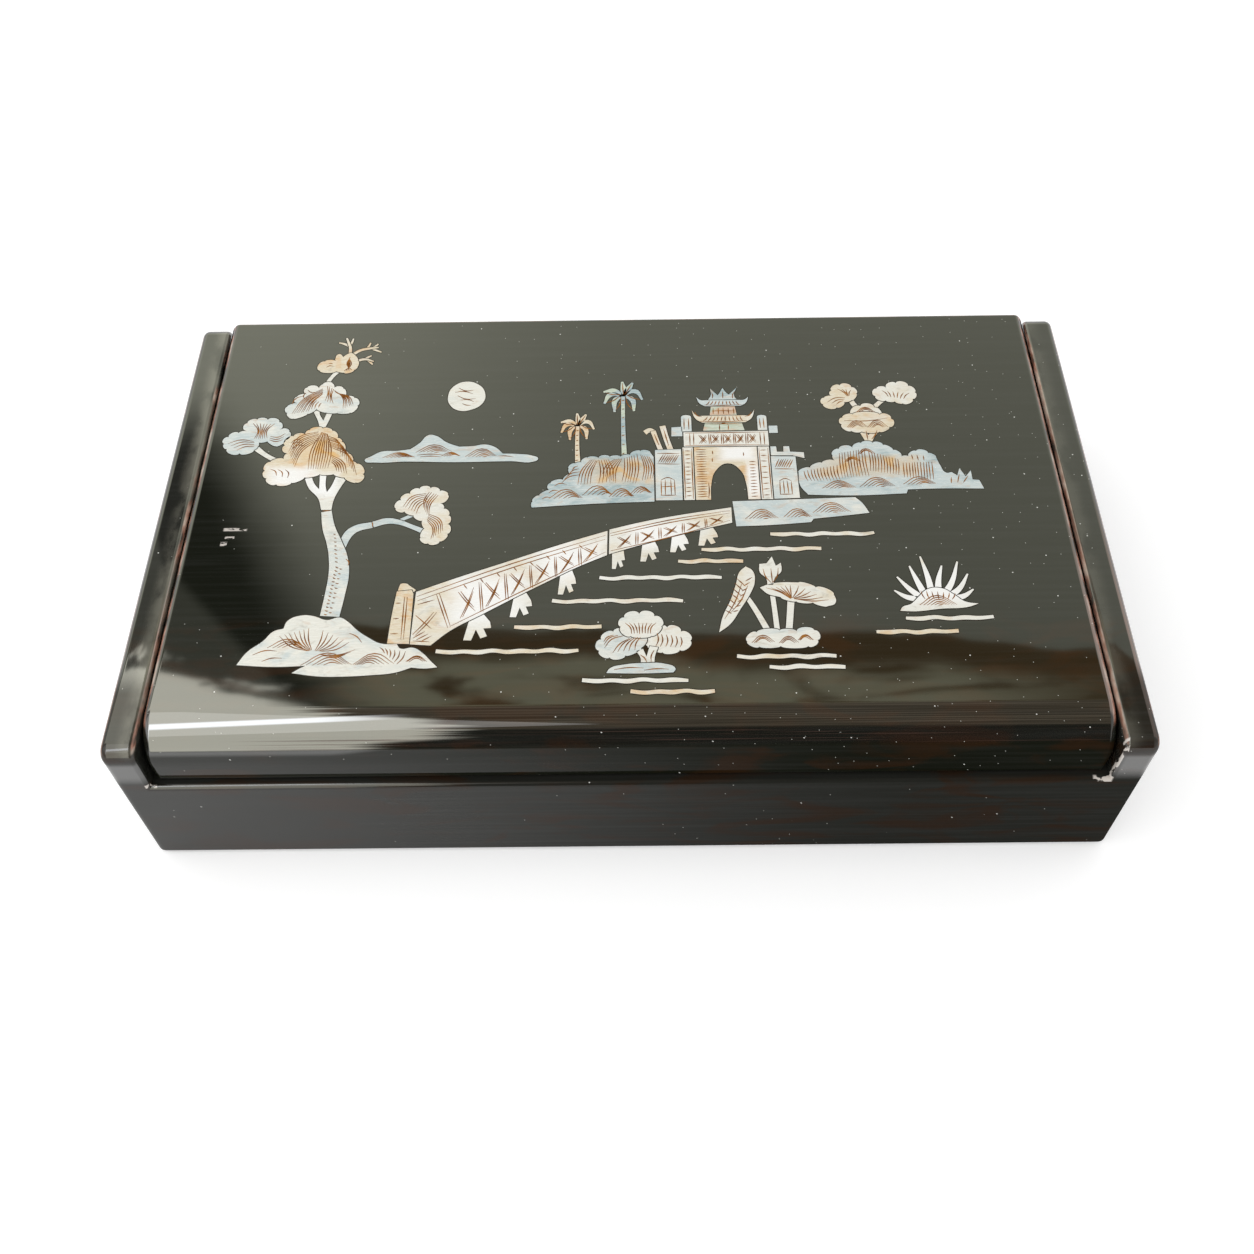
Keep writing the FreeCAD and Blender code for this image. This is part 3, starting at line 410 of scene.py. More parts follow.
def add_modifier(piece, kind, **settings):
    only(piece)
    modifier = piece.modifiers.new(kind.lower(), kind)
    for key, value in settings.items():
        setattr(modifier, key, value)
    bpy.ops.object.modifier_apply(modifier=modifier.name)


def finish(piece, body, material, replaced=(), angle=30.0, weighted=True):
    """Shades the piece, gives it its finish and hangs it on its body."""
    if bpy.context.mode != "OBJECT":
        bpy.ops.object.mode_set(mode="OBJECT")
    only(piece)
    bpy.ops.object.shade_smooth_by_angle(angle=radians(angle))
    if weighted:
        add_modifier(piece, "WEIGHTED_NORMAL", keep_sharp=True)
    piece.data.materials.clear()
    piece.data.materials.append(material)
    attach(piece, body)
    if replaced:
        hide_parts(*replaced)
    return piece


def tray():
    """Floor, low front and back, and raised ends, under one skin of lacquer."""
    x, y = INNER_X, RIM_HIGH[1]
    piece = block("lacquered_tray", (-HALF_LENGTH, -HALF_DEPTH, 0.0), (HALF_LENGTH, HALF_DEPTH, RIM_TOP))
    for axis, place in ((0, -x), (0, x), (1, y), (1, -y)):
        cut(axis, place)
    top = at(2, RIM_TOP)
    select(piece, "faces", both(top, lambda c: max(abs(v.x) for v in c) > x + 1))
    extrude((0, 0, WALL_TOP - RIM_TOP))
    middle = both(top, lambda c: all(abs(v.x) < x + 0.1 and abs(v.y) < abs(y) + 0.1 for v in c))
    select(piece, "faces", middle)
    extrude((0, 0, FLOOR_HIGH[2] - RIM_TOP))
    bpy.ops.mesh.select_all(action="SELECT")
    bpy.ops.mesh.dissolve_limited(angle_limit=radians(1.0))
    select(piece, "edges", both(at(1, -HALF_DEPTH, HALF_DEPTH), at(2, WALL_TOP)))
    bevel(CORNER_ROUND, 9)
    outside = at(0, -HALF_LENGTH, HALF_LENGTH)
    foot = both(at(2, 0.0), at(1, -HALF_DEPTH, HALF_DEPTH))
    select(piece, "edges", lambda c: outside(c) or foot(c))
    bevel(OUTER_ROUND, 6)
    inner = both(at(0, -x, x),
                 lambda c: min(v.z for v in c) > RIM_TOP - 0.1 and max(v.z for v in c) > RIM_TOP + 0.1)
    rim = both(at(1, -HALF_DEPTH, HALF_DEPTH), at(2, RIM_TOP))
    select(piece, "edges", lambda c: inner(c) or rim(c))
    bevel(INNER_ROUND, 5)
    select(piece, "edges", both(at(1, y, -y), at(2, RIM_TOP)))
    bevel(SMALL_ROUND, 3)
    finish(piece, "tray", WALL_LACQUER,
           ("left_end_wall", "right_end_wall", "front_wall", "back_wall", "bottom_board", "corner_pegs"))


def lid():
    """One block of lacquer with a rounded nose, a square back edge and a hollow underside."""
    piece = block("lacquered_lid", (-LID_X, LID_FRONT, LID_LOW), (LID_X, LID_BACK, LID_TOP))
    select(piece, "faces", at(2, LID_LOW))
    bpy.ops.mesh.inset(thickness=(CLEAT_HIGH[0] - CLEAT_LOW[0]) * MM)
    inset_front, inset_back = LID_FRONT + 8.0, LID_BACK - 8.0
    select(piece, "edges", both(at(1, inset_front), at(2, LID_LOW)))
    shift((0, CLEAT_LOW[1] - inset_front, 0))
    select(piece, "edges", both(at(1, inset_back), at(2, LID_LOW)))
    shift((0, CLEAT_HIGH[1] - inset_back, 0))
    select(piece, "faces", both(at(2, LID_LOW), lambda c: all(abs(v.x) < LID_X - 1 for v in c)))
    extrude((0, 0, BOARD_LOW[2] - LID_LOW))
    select(piece, "edges", both(at(1, LID_FRONT), at(2, LID_TOP)))
    bevel(NOSE_ROUND, 18)
    select(piece, "edges", both(at(1, LID_BACK), at(2, LID_LOW)))
    bevel(HINGE_ROUND, 12)
    select(piece, "edges", both(at(1, LID_BACK), at(2, LID_TOP)))
    bevel(BACK_EDGE_ROUND, 3)
    select(piece, "edges", at(0, -LID_X, LID_X))
    bevel(OUTER_ROUND, 6)
    select(piece, "edges", both(at(1, LID_FRONT), at(2, LID_LOW)))
    bevel(SMALL_ROUND, 3)
    finish(piece, "lid", LID_LACQUER,
           ("lid_board", "lid_front_rail", "lid_hinge_rail", "lid_left_cleat", "lid_right_cleat"))


# The shell landscape, drawn in millimetres on the lid
SHELL_TOP = LID_TOP + 0.040
LAYER_STEP, HALF_PLATE = 0.014, 0.13
SEAT_DEPTH, SEAT_LINE, SEAT_SQUASH = 0.012, 0.24, 0.02
ENGRAVED_LINE, ENGRAVED_SQUASH = 0.165, 0.07
hand = random.Random(11)


def bent(start, end, bend):
    """The middle of a stroke that sags to the right of its way by bend times its length."""
    return (start + end) / 2 + Vector((end.y - start.y, start.x - end.x, 0.0)) * bend


def knots(points):
    """Knots of an outline. (x, y) is smooth, (x, y, 0) is a corner, and from (x, y, b) a lobe swells out to
    the next point, b times as high as it is long."""
    places = [Vector((x, y, 0.0)) for x, y, *swell in points]
    swells = [swell[0] if swell else None for x, y, *swell in points]
    area = sum(places[i - 1].cross(places[i]).z for i in range(len(places)))
    turn = 1.0 if area > 0 else -1.0
    made = []
    for i, here in enumerate(places):
        kind = "AUTO" if swells[i] is None else "VECTOR"
        before, after, into, out = places[i - 1], places[(i + 1) % len(places)], kind, kind
        rise_in = bent(before, here, turn * (swells[i - 1] or 0)) - (before + here) / 2
        top = bent(here, after, turn * (swells[i] or 0))
        rise_out = top - (here + after) / 2
        if swells[i - 1] and swells[i] and (here - before).cross(after - here).z * turn < 0:
            apart = (rise_in.normalized() + rise_out.normalized()).normalized()
            rise_in = (apart - (here - before).normalized() * 0.2) * rise_in.length
            rise_out = (apart + (after - here).normalized() * 0.2) * rise_out.length
        if swells[i - 1]:
            into = here + rise_in * 0.62
        if swells[i]:
            out = here + rise_out * 0.62
        made.append((here, into, out))
        if swells[i]:
            made.append((top, top - (after - here) * 0.28, top + (after - here) * 0.28))
    return made


def drawn(name, lines, level, closed=True, widths=None, **settings):
    """A curve on the lid, turned into a mesh with its place in it."""
    bpy.ops.object.select_all(action="DESELECT")
    bpy.ops.curve.primitive_bezier_circle_add(location=(0, 0, level * MM))
    piece = bpy.context.object
    piece.name = piece.data.name = name
    curve = piece.data
    curve.splines.clear()
    curve.dimensions = "2D" if closed else "3D"
    for key, value in settings.items():
        setattr(curve, key, value)
    for line in lines:
        spline = curve.splines.new("BEZIER")
        spline.bezier_points.add(len(line) - 1)
        spline.use_cyclic_u = closed
        for i, (knot, (place, into, out)) in enumerate(zip(spline.bezier_points, line)):
            knot.co = place * MM
            for side, handle in (("left", into), ("right", out)):
                if isinstance(handle, str):
                    setattr(knot, f"handle_{side}_type", handle)
                else:
                    setattr(knot, f"handle_{side}_type", "FREE")
                    setattr(knot, f"handle_{side}", handle * MM)
            knot.radius = widths[i] if widths else 1.0
    bpy.ops.object.convert(target="MESH")
    return bpy.context.object


def joined(pieces, name):
    bpy.ops.object.select_all(action="DESELECT")
    for piece in pieces:
        piece.select_set(True)
    bpy.context.view_layer.objects.active = pieces[0]
    if len(pieces) > 1:
        bpy.ops.object.join()
    piece = bpy.context.object
    piece.name = piece.data.name = name
    bpy.ops.object.transform_apply(location=True, rotation=True, scale=True)
    return piece


seats = []


def plate(tint, points, layer=0):
    """One thin plate of shell, and the dark seat round it. A plate of a lower layer passes under others."""
    level = SHELL_TOP - LAYER_STEP * layer
    lines = [knots(points)]
    piece = drawn("plate", lines, level - HALF_PLATE, resolution_u=5, fill_mode="BOTH",
                  extrude=HALF_PLATE * MM)
    shade = piece.data.attributes.new("tint", "FLOAT", "POINT")
    for item in shade.data:
        item.value = tint
    seat = drawn("seat", lines, level - SEAT_DEPTH, resolution_u=4, dimensions="3D",
                 bevel_depth=SEAT_LINE * MM, bevel_resolution=0)
    seat.scale.z = SEAT_SQUASH
    seats.append(seat)
    return piece


def limb(tint, points, widths, layer=0):
    """A stem or twig along a line, with a width at each of its points."""
    sides = [], []
    for i, (x, y) in enumerate(points):
        ahead, behind = points[min(i + 1, len(points) - 1)], points[max(i - 1, 0)]
        along = Vector((ahead[0] - behind[0], ahead[1] - behind[1])).normalized() * widths[i] / 2
        corner = (0,) if i in (0, len(points) - 1) else ()
        sides[0].append((x + along.y, y - along.x, *corner))
        sides[1].append((x - along.y, y + along.x, *corner))
    return plate(tint, sides[0] + sides[1][::-1], layer=layer)


def sweep(first, last, count):
    """Strokes that change evenly from the first to the last. A stroke is (x, y, x, y, bend)."""
    steps = [i / max(count - 1, 1) for i in range(count)]
    return [tuple(a + (b - a) * s for a, b in zip(first, last)) for s in steps]


def ripples(x, y, width, rise, count=4, lean=0.0):
    """Nested arches, as an engraver cuts them for a mound."""
    strokes = []
    for i in range(count):
        half, top = width / 2 * (1 - 0.17 * i), rise * (1 - 0.20 * i)
        middle = x + lean * i
        strokes.append((middle - half, y, middle + half, y + 0.1, -top / (2 * half)))
    return strokes


def crosses(corners, panels, gap=0.42):
    """A row of panels with a double cross in each, between a lower and an upper rail."""
    low_a, low_b, high_a, high_b = (Vector((*c, 0)) for c in corners)
    strokes = []
    for i in range(panels):
        s, e = (i + 0.12) / panels, (i + 0.86) / panels
        a, b = low_a.lerp(low_b, s), low_a.lerp(low_b, e)
        c, d = high_a.lerp(high_b, s), high_a.lerp(high_b, e)
        shift_by = (b - a).normalized() * gap
        for p, q in ((a, d), (c, b)):
            p, q = p.lerp(q, 0.1), p.lerp(q, 0.9)
            strokes += [(p.x, p.y, q.x, q.y, 0.02),
                        (*(p + shift_by).xy, *(q + shift_by).lerp(p, 0.16).xy, 0.02)]
        if i:
            p, q = low_a.lerp(low_b, i / panels), high_a.lerp(high_b, i / panels)
            strokes += [(p.x, p.y, q.x, q.y, 0), (p.x + gap, p.y + 0.1, q.x + gap, q.y, 0)]
    return strokes


def figure(node, plates, strokes):
    """Joins a figure's plates, stands them for its solids, and cuts its lines."""
    name = node.replace("inlay_", "shell_")
    finish(joined(plates, name), "lid", NACRE, (node,), 35.0, False)
    lines = []
    for x0, y0, x1, y1, bend in strokes:
        wander = [hand.uniform(-0.09, 0.09) for _ in range(4)]
        start = Vector((x0 + wander[0], y0 + wander[1], 0))
        end = Vector((x1 + wander[2], y1 + wander[3], 0))
        middle = bent(start, end, bend)
        lines.append([(place, "AUTO", "AUTO") for place in (start, middle, end)])
    if lines:
        cut_piece = drawn("lines", lines, SHELL_TOP, False, (0.45, 1.0, 0.3), resolution_u=4,
                          bevel_depth=ENGRAVED_LINE * MM, bevel_resolution=0, use_fill_caps=True)
        cut_piece.scale.z = ENGRAVED_SQUASH
        finish(joined([cut_piece], name + "_lines"), "lid", ENGRAVING, (), 35.0, False)


def pine():
    """An old pine that leans over the water, with clouded crowns."""
    crowns = [
        plate(0.10, [(-84.3, 50.6, .18), (-79.8, 50.4, .08), (-77.6, 49.8, .25), (-74.9, 50.8, .2),
                     (-74.3, 54.4, .15), (-76.6, 57.4, .1), (-78.4, 55.8, .7), (-80.5, 55.4, .15),
                     (-80.3, 54.3, .2), (-83.3, 54.2, .35)]),
        plate(0.42, [(-91.0, 34.8, .25), (-89.2, 32.7, .12), (-85.6, 34.4, .15), (-83.4, 36.2, .12),
                     (-80.6, 34.8, .1), (-77.6, 34.6, .12), (-74.2, 34.6, .22), (-72.5, 37.2, .3),
                     (-73.6, 40.0, .25), (-76.4, 40.4, .2), (-77.0, 43.6, .3), (-79.6, 44.0, .15),
                     (-80.2, 45.6, .3), (-82.8, 45.3, .2), (-83.6, 43.8, .3), (-86.9, 44.2, .35),
                     (-86.6, 41.6, .2), (-89.2, 40.8, .35), (-88.8, 38.2, .2), (-91.4, 37.0, .3)]),
        plate(0.50, [(-105.2, 22.0, .3), (-101.6, 20.4, .25), (-98.0, 21.6, .2), (-97.2, 24.2, .12),
                     (-94.9, 24.6, .1), (-92.6, 22.8, .22), (-90.2, 25.0, .3), (-89.6, 27.8, .35),
                     (-92.2, 28.6, .3), (-92.8, 31.4, .35), (-96.0, 32.2, .3), (-98.8, 32.4, .3),
                     (-101.2, 31.2, .35), (-101.0, 28.2, .2), (-103.0, 27.6, .35), (-105.4, 26.2, .4),
                     (-106.2, 23.8, .3)]),
        plate(0.02, [(-93.2, 11.6, .3), (-90.4, 9.5, .22), (-86.6, 10.0, .15), (-83.4, 11.8, .12),
                     (-79.6, 12.8, .1), (-76.0, 12.8, .12), (-73.0, 11.6, .15), (-69.9, 9.8, .35),
                     (-68.4, 12.6, .25), (-70.4, 16.2, .2), (-71.6, 17.0, .2), (-73.0, 19.8, .22),
                     (-74.2, 20.8, .2), (-75.2, 24.0, .25), (-76.6, 25.4, .25), (-78.2, 28.0, .25),
                     (-80.8, 28.9, .25), (-84.2, 28.4, .3), (-85.0, 26.6, .3), (-88.2, 26.2, .35),
                     (-90.0, 23.0, .35), (-89.0, 20.2, .2), (-89.6, 18.2, .2), (-93.0, 17.2, .3),
                     (-94.0, 14.2, .3)]),
        plate(0.22, [(-51.6, -8.6, .3), (-49.6, -10.5, .3), (-46.8, -9.9, .25), (-45.1, -7.6, .3),
                     (-45.3, -4.4, .3), (-45.2, -1.6, .3), (-46.6, 0.6, .25), (-47.6, 2.4, .25),
                     (-45.8, 5.2, .3), (-48.0, 6.4, .35), (-50.4, 7.5, .35), (-53.2, 7.3, .35),
                     (-55.4, 5.6, .35), (-57.6, 3.6, .3), (-58.7, 0.9, .3), (-56.4, -0.1, .15),
                     (-54.0, -1.4, .2), (-51.6, -3.2, .15), (-50.8, -5.8, .15)]),
    ]
    cuts = sweep((-77.6, 50.4, -76.9, 55.6, .25), (-75.6, 50.6, -76.5, 55.8, -.22), 5)
    cuts += sweep((-82.6, 52.0, -80.8, 52.4, -.2), (-82.2, 53.2, -80.9, 53.2, -.2), 2)
    cuts += sweep((-82.6, 43.6, -89.8, 34.4, .12), (-82.4, 41.6, -85.6, 35.2, .10), 8)
    cuts += sweep((-83.6, 39.4, -84.8, 36.0, .1), (-82.4, 38.4, -82.9, 36.6, .1), 3)
    cuts += sweep((-81.4, 44.6, -81.4, 39.0, -.08), (-79.6, 43.6, -79.2, 38.0, .1), 4)
    cuts += sweep((-79.4, 43.0, -76.2, 36.2, -.16), (-78.6, 41.8, -73.6, 37.6, -.2), 6)
    cuts += sweep((-87.6, 41.0, -90.2, 37.8, .2), (-86.6, 43.2, -84.2, 42.4, .2), 3)
    cuts += sweep((-99.6, 31.0, -98.6, 25.4, -.2), (-94.0, 30.8, -95.2, 25.6, .2), 7)
    cuts += sweep((-98.4, 24.6, -105.2, 23.8, .14), (-98.2, 22.8, -102.6, 21.4, .12), 4)
    cuts += sweep((-94.4, 26.2, -90.6, 27.2, .2), (-94.4, 25.0, -91.0, 25.0, .18), 3)
    cuts += sweep((-81.8, 27.8, -88.8, 20.8, .22), (-81.2, 25.0, -86.6, 15.4, .14), 8)
    cuts += sweep((-80.8, 27.6, -82.8, 14.4, .08), (-79.4, 27.0, -77.8, 14.8, -.08), 9)
    cuts += sweep((-79.2, 26.2, -75.8, 21.0, -.24), (-78.6, 22.6, -70.0, 12.2, -.16), 9)
    cuts += sweep((-77.4, 19.4, -72.6, 12.8, -.16), (-77.0, 17.0, -75.4, 13.8, -.1), 5)
    cuts += sweep((-90.8, 12.4, -92.6, 14.6, .2), (-87.8, 11.6, -88.8, 14.6, .2), 3)
    cuts += sweep((-86.0, 24.8, -88.6, 23.8, .3), (-84.8, 22.6, -88.2, 21.4, .3), 3)
    cuts += sweep((-51.4, 5.8, -57.0, 1.6, .2), (-50.6, 3.4, -53.4, -0.8, .16), 6)
    cuts += sweep((-50.6, 6.4, -51.8, 1.0, .1), (-48.2, 5.2, -50.2, -1.8, .12), 5)
    cuts += sweep((-50.2, -1.0, -46.2, -6.6, -.2), (-50.4, -3.2, -49.0, -9.2, -.16), 6)
    figure("inlay_pine_crowns", crowns, cuts)

    wood = [
        limb(0.46, [(-76.3, 0.2), (-75.1, -5), (-73.1, -10), (-71.5, -15), (-70.8, -20), (-71.0, -26),
                    (-71.5, -32.6)],
             (2.6, 3.1, 3.7, 4.6, 5.0, 4.9, 4.7), 1),
        plate(0.36, [(-75.1, 0.7, 0), (-74.9, 4.0), (-73.7, 8.0), (-72.0, 12.0, 0), (-75.2, 12.2, 0),
                     (-76.1, 8.6), (-77.0, 6.6, 0), (-77.6, 9.0), (-77.8, 12.4, 0), (-79.5, 12.4, 0),
                     (-79.2, 9.0), (-79.1, 7.6, 0), (-80.6, 9.6), (-81.6, 12.0, 0), (-83.2, 11.2, 0),
                     (-81.8, 8.0), (-79.0, 4.6), (-77.7, 0.7, 0)], layer=1),
        limb(0.55, [(-70.9, -11.5), (-70.0, -7.6), (-68.2, -5.6), (-64.2, -4.4)], (1.6, 2.3, 2.2, 1.9), 2),
        limb(0.62, [(-64.0, -4.3), (-60.6, -3.2), (-57.6, -3.6), (-54.4, -5.0), (-51.2, -6.6)],
             (1.9, 1.9, 1.5, 1.3, 1.5), 1),
        limb(0.55, [(-57.6, -3.2), (-54.0, -1.2)], (0.9, 1.1), 2),
        limb(0.40, [(-97.6, 22.2), (-94.6, 19.6), (-90.6, 17.0)], (1.7, 1.3, 1.5), 1),
        plate(0.36, [(-81.5, 28.6, 0), (-80.4, 28.6, 0), (-79.6, 31.4), (-78.8, 35.0, 0), (-80.3, 35.0, 0),
                     (-81.0, 31.8, 0), (-82.2, 34.0), (-82.6, 36.0, 0), (-84.0, 35.0, 0), (-82.4, 31.6)],
              layer=1),
        limb(0.30, [(-81.8, 44.6), (-81.0, 47.4), (-79.0, 50.8)], (1.4, 1.1, 1.3), 1),
        limb(0.12, [(-76.7, 56.6), (-76.9, 59.6), (-77.4, 61.0), (-78.3, 63.4)], (0.9, 0.8, 0.7, 0.5), 1),
        limb(0.12, [(-77.1, 60.0), (-78.6, 61.0), (-80.3, 61.6)], (0.7, 0.7, 0.4), 2),
        limb(0.12, [(-77.1, 60.4), (-76.6, 62.0), (-76.4, 63.2)], (0.7, 0.6, 0.4), 2),
        limb(0.12, [(-76.2, 56.4), (-74.0, 58.4), (-71.6, 59.1), (-69.0, 59.5)], (1.0, 0.9, 0.8, 0.4), 1),
        limb(0.12, [(-72.6, 58.8), (-71.8, 60.0), (-71.4, 61.4)], (0.7, 0.6, 0.4), 2),
        limb(0.12, [(-71.0, 59.2), (-69.8, 60.2), (-69.2, 60.9)], (0.6, 0.5, 0.4), 2),
        limb(0.12, [(-71.2, 59.2), (-69.6, 58.4), (-68.0, 57.6)], (0.6, 0.6, 0.4), 2),
        limb(0.12, [(-74.8, 54.0), (-72.4, 54.9), (-69.8, 54.0)], (0.9, 0.8, 0.4), 1),
        limb(0.12, [(-72.6, 54.8), (-71.4, 55.8), (-70.6, 56.3)], (0.7, 0.6, 0.4), 2),
        limb(0.12, [(-71.8, 54.8), (-70.6, 53.6), (-70.0, 52.8)], (0.7, 0.6, 0.4), 2),
    ]
    bark = sweep((-73.6, -7.2, -73.0, -7.4, 0), (-72.2, -16.0, -71.4, -16.2, 0), 8)
    bark += sweep((-71.9, -17.6, -71.1, -18.0, .1), (-72.9, -32.0, -72.2, -32.2, .1), 14)
    bark += sweep((-70.9, -18.2, -70.2, -18.4, .1), (-71.8, -31.4, -71.0, -31.6, .1), 10)
    bark += [(-69.6, -15.2, -68.9, -17.4, -.2), (-64.3, -3.6, -64.0, -5.2, 0), (-77.4, 0.3, -75.2, 0.3, 0)]
    figure("inlay_pine_trunk", wood, bark)

    rock = [
        plate(0.40, [(-91.7, -46.4, 0), (-89.8, -42.8), (-86.4, -39.6), (-84.4, -36.9), (-82.1, -36.1, 0),
                     (-81.4, -33.8), (-78.4, -32.3), (-75.4, -32.5), (-72.0, -33.7), (-69.0, -33.0),
                     (-67.0, -34.2), (-64.4, -36.8), (-61.6, -38.9), (-58.4, -40.7), (-54.6, -40.9, 0),
                     (-53.6, -42.2), (-50.6, -42.0), (-48.2, -43.6), (-46.2, -45.8), (-44.5, -47.6, 0),
                     (-47.6, -47.9), (-50.6, -47.6, 0), (-54.4, -49.0), (-60.0, -49.6), (-66.0, -49.9),
                     (-72.0, -49.8), (-78.4, -48.8, 0), (-76.8, -47.6), (-75.4, -46.8, 0), (-83.0, -47.0)]),
    ]
    cuts = ripples(-80.6, -41.6, 9.0, 2.4, 4, .4) + ripples(-70.6, -46.6, 12.0, 3.4, 5, .3)
    cuts += ripples(-59.6, -46.6, 9.6, 3.0, 5, -.3) + ripples(-49.6, -46.0, 5.0, 1.6, 3)
    cuts += sweep((-75.6, -42.6, -82.8, -38.2, -.12), (-74.6, -42.4, -76.0, -36.0, -.06), 7)
    cuts += sweep((-73.8, -42.6, -72.6, -36.6, .06), (-72.2, -42.8, -66.0, -40.2, .12), 6)
    cuts += sweep((-72.6, -43.6, -64.2, -42.4, .1), (-70.8, -44.4, -66.4, -43.8, .1), 3)
    cuts += sweep((-57.2, -43.4, -58.6, -41.8, .1), (-54.0, -46.6, -52.4, -43.0, .1), 6)
    cuts += [(-88.4, -43.6, -82.6, -42.6, -.12), (-86.0, -45.4, -81.2, -44.6, -.1),
             (-66.2, -37.6, -63.0, -40.4, -.1)]
    figure("inlay_pine_rock", rock, cuts)


def sky():
    """The moon behind two wisps of cloud, and hills on the far shore."""
    moon = [plate(0.34, [(-48.2, 40.6), (-47.0, 43.9), (-43.8, 45.7), (-40.2, 44.5), (-38.3, 41.4),
                         (-38.7, 37.6), (-41.6, 35.2), (-45.0, 34.9), (-47.6, 37.2)])]
    cuts = [(-45.6, 43.4, -41.4, 42.4, .16), (-46.4, 41.8, -41.6, 41.0, -.12),
            (-45.6, 40.4, -40.6, 39.2, .14),
            (-44.8, 38.8, -41.0, 38.0, -.14), (-44.2, 37.4, -41.8, 36.8, .1)]
    figure("inlay_moon", moon, cuts)

    hills = [plate(0.56, [(-68.4, 17.3), (-65.6, 16.6), (-58.0, 16.8), (-45.0, 16.4), (-30.0, 16.5),
                          (-24.2, 16.3), (-23.1, 17.3), (-24.8, 18.4), (-28.4, 19.0), (-32.4, 19.2, 0),
                          (-34.4, 21.4), (-37.2, 22.5), (-40.2, 22.0), (-44.0, 21.8, 0), (-47.4, 23.4),
                          (-50.4, 25.8), (-52.4, 26.1), (-54.4, 23.4), (-56.8, 21.1, 0), (-60.2, 20.6),
                          (-64.2, 20.4), (-66.8, 18.8)])]
    cuts = ripples(-59.6, 18.2, 8.6, 1.7, 5, .3) + ripples(-50.6, 20.0, 9.4, 2.5, 6, .2)
    cuts += ripples(-46.0, 18.5, 5.0, 1.3, 4, .3) + ripples(-38.0, 18.2, 8.4, 2.7, 6, .2)
    cuts += [(-55.0, 19.0, -47.6, 18.8, -.05), (-54.0, 18.4, -48.4, 18.2, -.05),
             (-33.6, 18.3, -29.6, 17.9, -.05)]
    figure("inlay_far_hills", hills, cuts)


def palm(x, foot, top, reach, tint):
    """A palm with seven drooping fronds."""
    plates = [limb(tint, [(x + 0.3, foot), (x, (foot + top) / 2), (x, top)], (1.4, 1.1, 1.0), 1)]
    fronds = ((.02, .5, -.05, 1.08), (.28, .55, .5, .98), (.6, .38, 1.0, -.25), (.42, -.15, .56, -1.05),
              (-.36, -.18, -.44, -1.1), (-.62, .16, -.97, -.5), (-.5, .44, -1.02, .34))
    for mx, my, ex, ey in fronds:
        spots = [(x, top), (x + mx * reach, top + my * reach), (x + ex * reach, top + ey * reach)]
        plates.append(limb(tint, spots, (reach * .15, reach * .30, reach * .12), 2))
    cuts = [(x + mx * reach * .3, top + my * reach * .3, x + ex * reach * .9, top + ey * reach * .9,
             (.1 if mx > 0 else -.1) * (ey < .5)) for mx, my, ex, ey in fronds]
    cuts += sweep((x - .35, foot + 1.4, x + .4, foot + 1.6, 0),
                  (x - .3, top - 1.6, x + .35, top - 1.4, 0), 7)
    return plates, cuts


def left_shore():
    """A low island with two palms."""
    small, small_cuts = palm(-13.0, 15.0, 28.6, 4.4, 0.05)
    tall, tall_cuts = palm(-0.9, 17.2, 39.4, 5.2, 0.80)
    figure("inlay_palms", small + tall, small_cuts + tall_cuts)
    island = [plate(0.66, [(-24.0, 0.7, 0), (-14.0, 1.4), (-4.0, 1.9), (7.0, 2.2, 0), (7.0, 17.4, 0),
                           (6.2, 18.9, .25), (3.6, 19.5, .25), (0.9, 18.2, .15), (-1.6, 17.6, .2),
                           (-4.4, 17.5, .3), (-7.4, 17.2, .2), (-10.2, 17.4, .25), (-11.8, 15.8, .15),
                           (-13.4, 15.4, .3), (-15.0, 13.6, .2), (-14.4, 11.8, .2), (-16.4, 9.8, .2),
                           (-19.6, 8.8, .3), (-19.8, 6.4, .15), (-22.4, 4.6, .25), (-24.0, 2.6, .2)])]
    cuts = ripples(-15.6, 3.6, 8.6, 2.9, 5, .5) + ripples(-7.6, 4.6, 7.6, 3.0, 5, .6)
    cuts += ripples(-1.4, 4.0, 6.4, 2.6, 5, .4) + ripples(3.6, 5.0, 5.4, 2.2, 4, .3)
    cuts += sweep((-9.4, 16.6, -12.6, 8.2, .1), (-7.6, 16.4, -9.4, 8.4, .06), 5)
    cuts += sweep((-7.2, 16.6, -7.2, 8.6, -.06), (-4.8, 16.6, -3.4, 9.0, -.08), 5)
    cuts += sweep((-3.0, 16.8, -6.4, 11.6, .12), (-1.2, 17.0, -3.0, 8.6, .08), 5)
    cuts += sweep((-0.6, 17.2, -1.2, 9.0, -.04), (2.6, 18.4, 2.2, 8.4, -.06), 6)
    cuts += sweep((3.6, 18.2, 4.0, 9.4, -.08), (5.8, 17.6, 6.6, 10.0, -.1), 5)
    cuts += sweep((-12.6, 14.6, -14.0, 12.6, .2), (-12.0, 11.6, -17.0, 8.6, .15), 4)
    cuts += sweep((-18.6, 7.8, -15.4, 8.2, -.2), (-21.6, 3.4, -19.4, 3.9, -.2), 3)
    figure("inlay_left_island", island, cuts)


def roof(x, low, half, rise, tip):
    """A roof whose eaves sweep up at both ends."""
    right = [(x + half * .68, low, 0), (x + half * .88, low + tip * .30), (x + half, low + tip, 0),
             (x + half * .84, low + rise * 1.04), (x + half * .60, low + rise, 0)]
    return right + [(2 * x - place[0], *place[1:]) for place in reversed(right)]


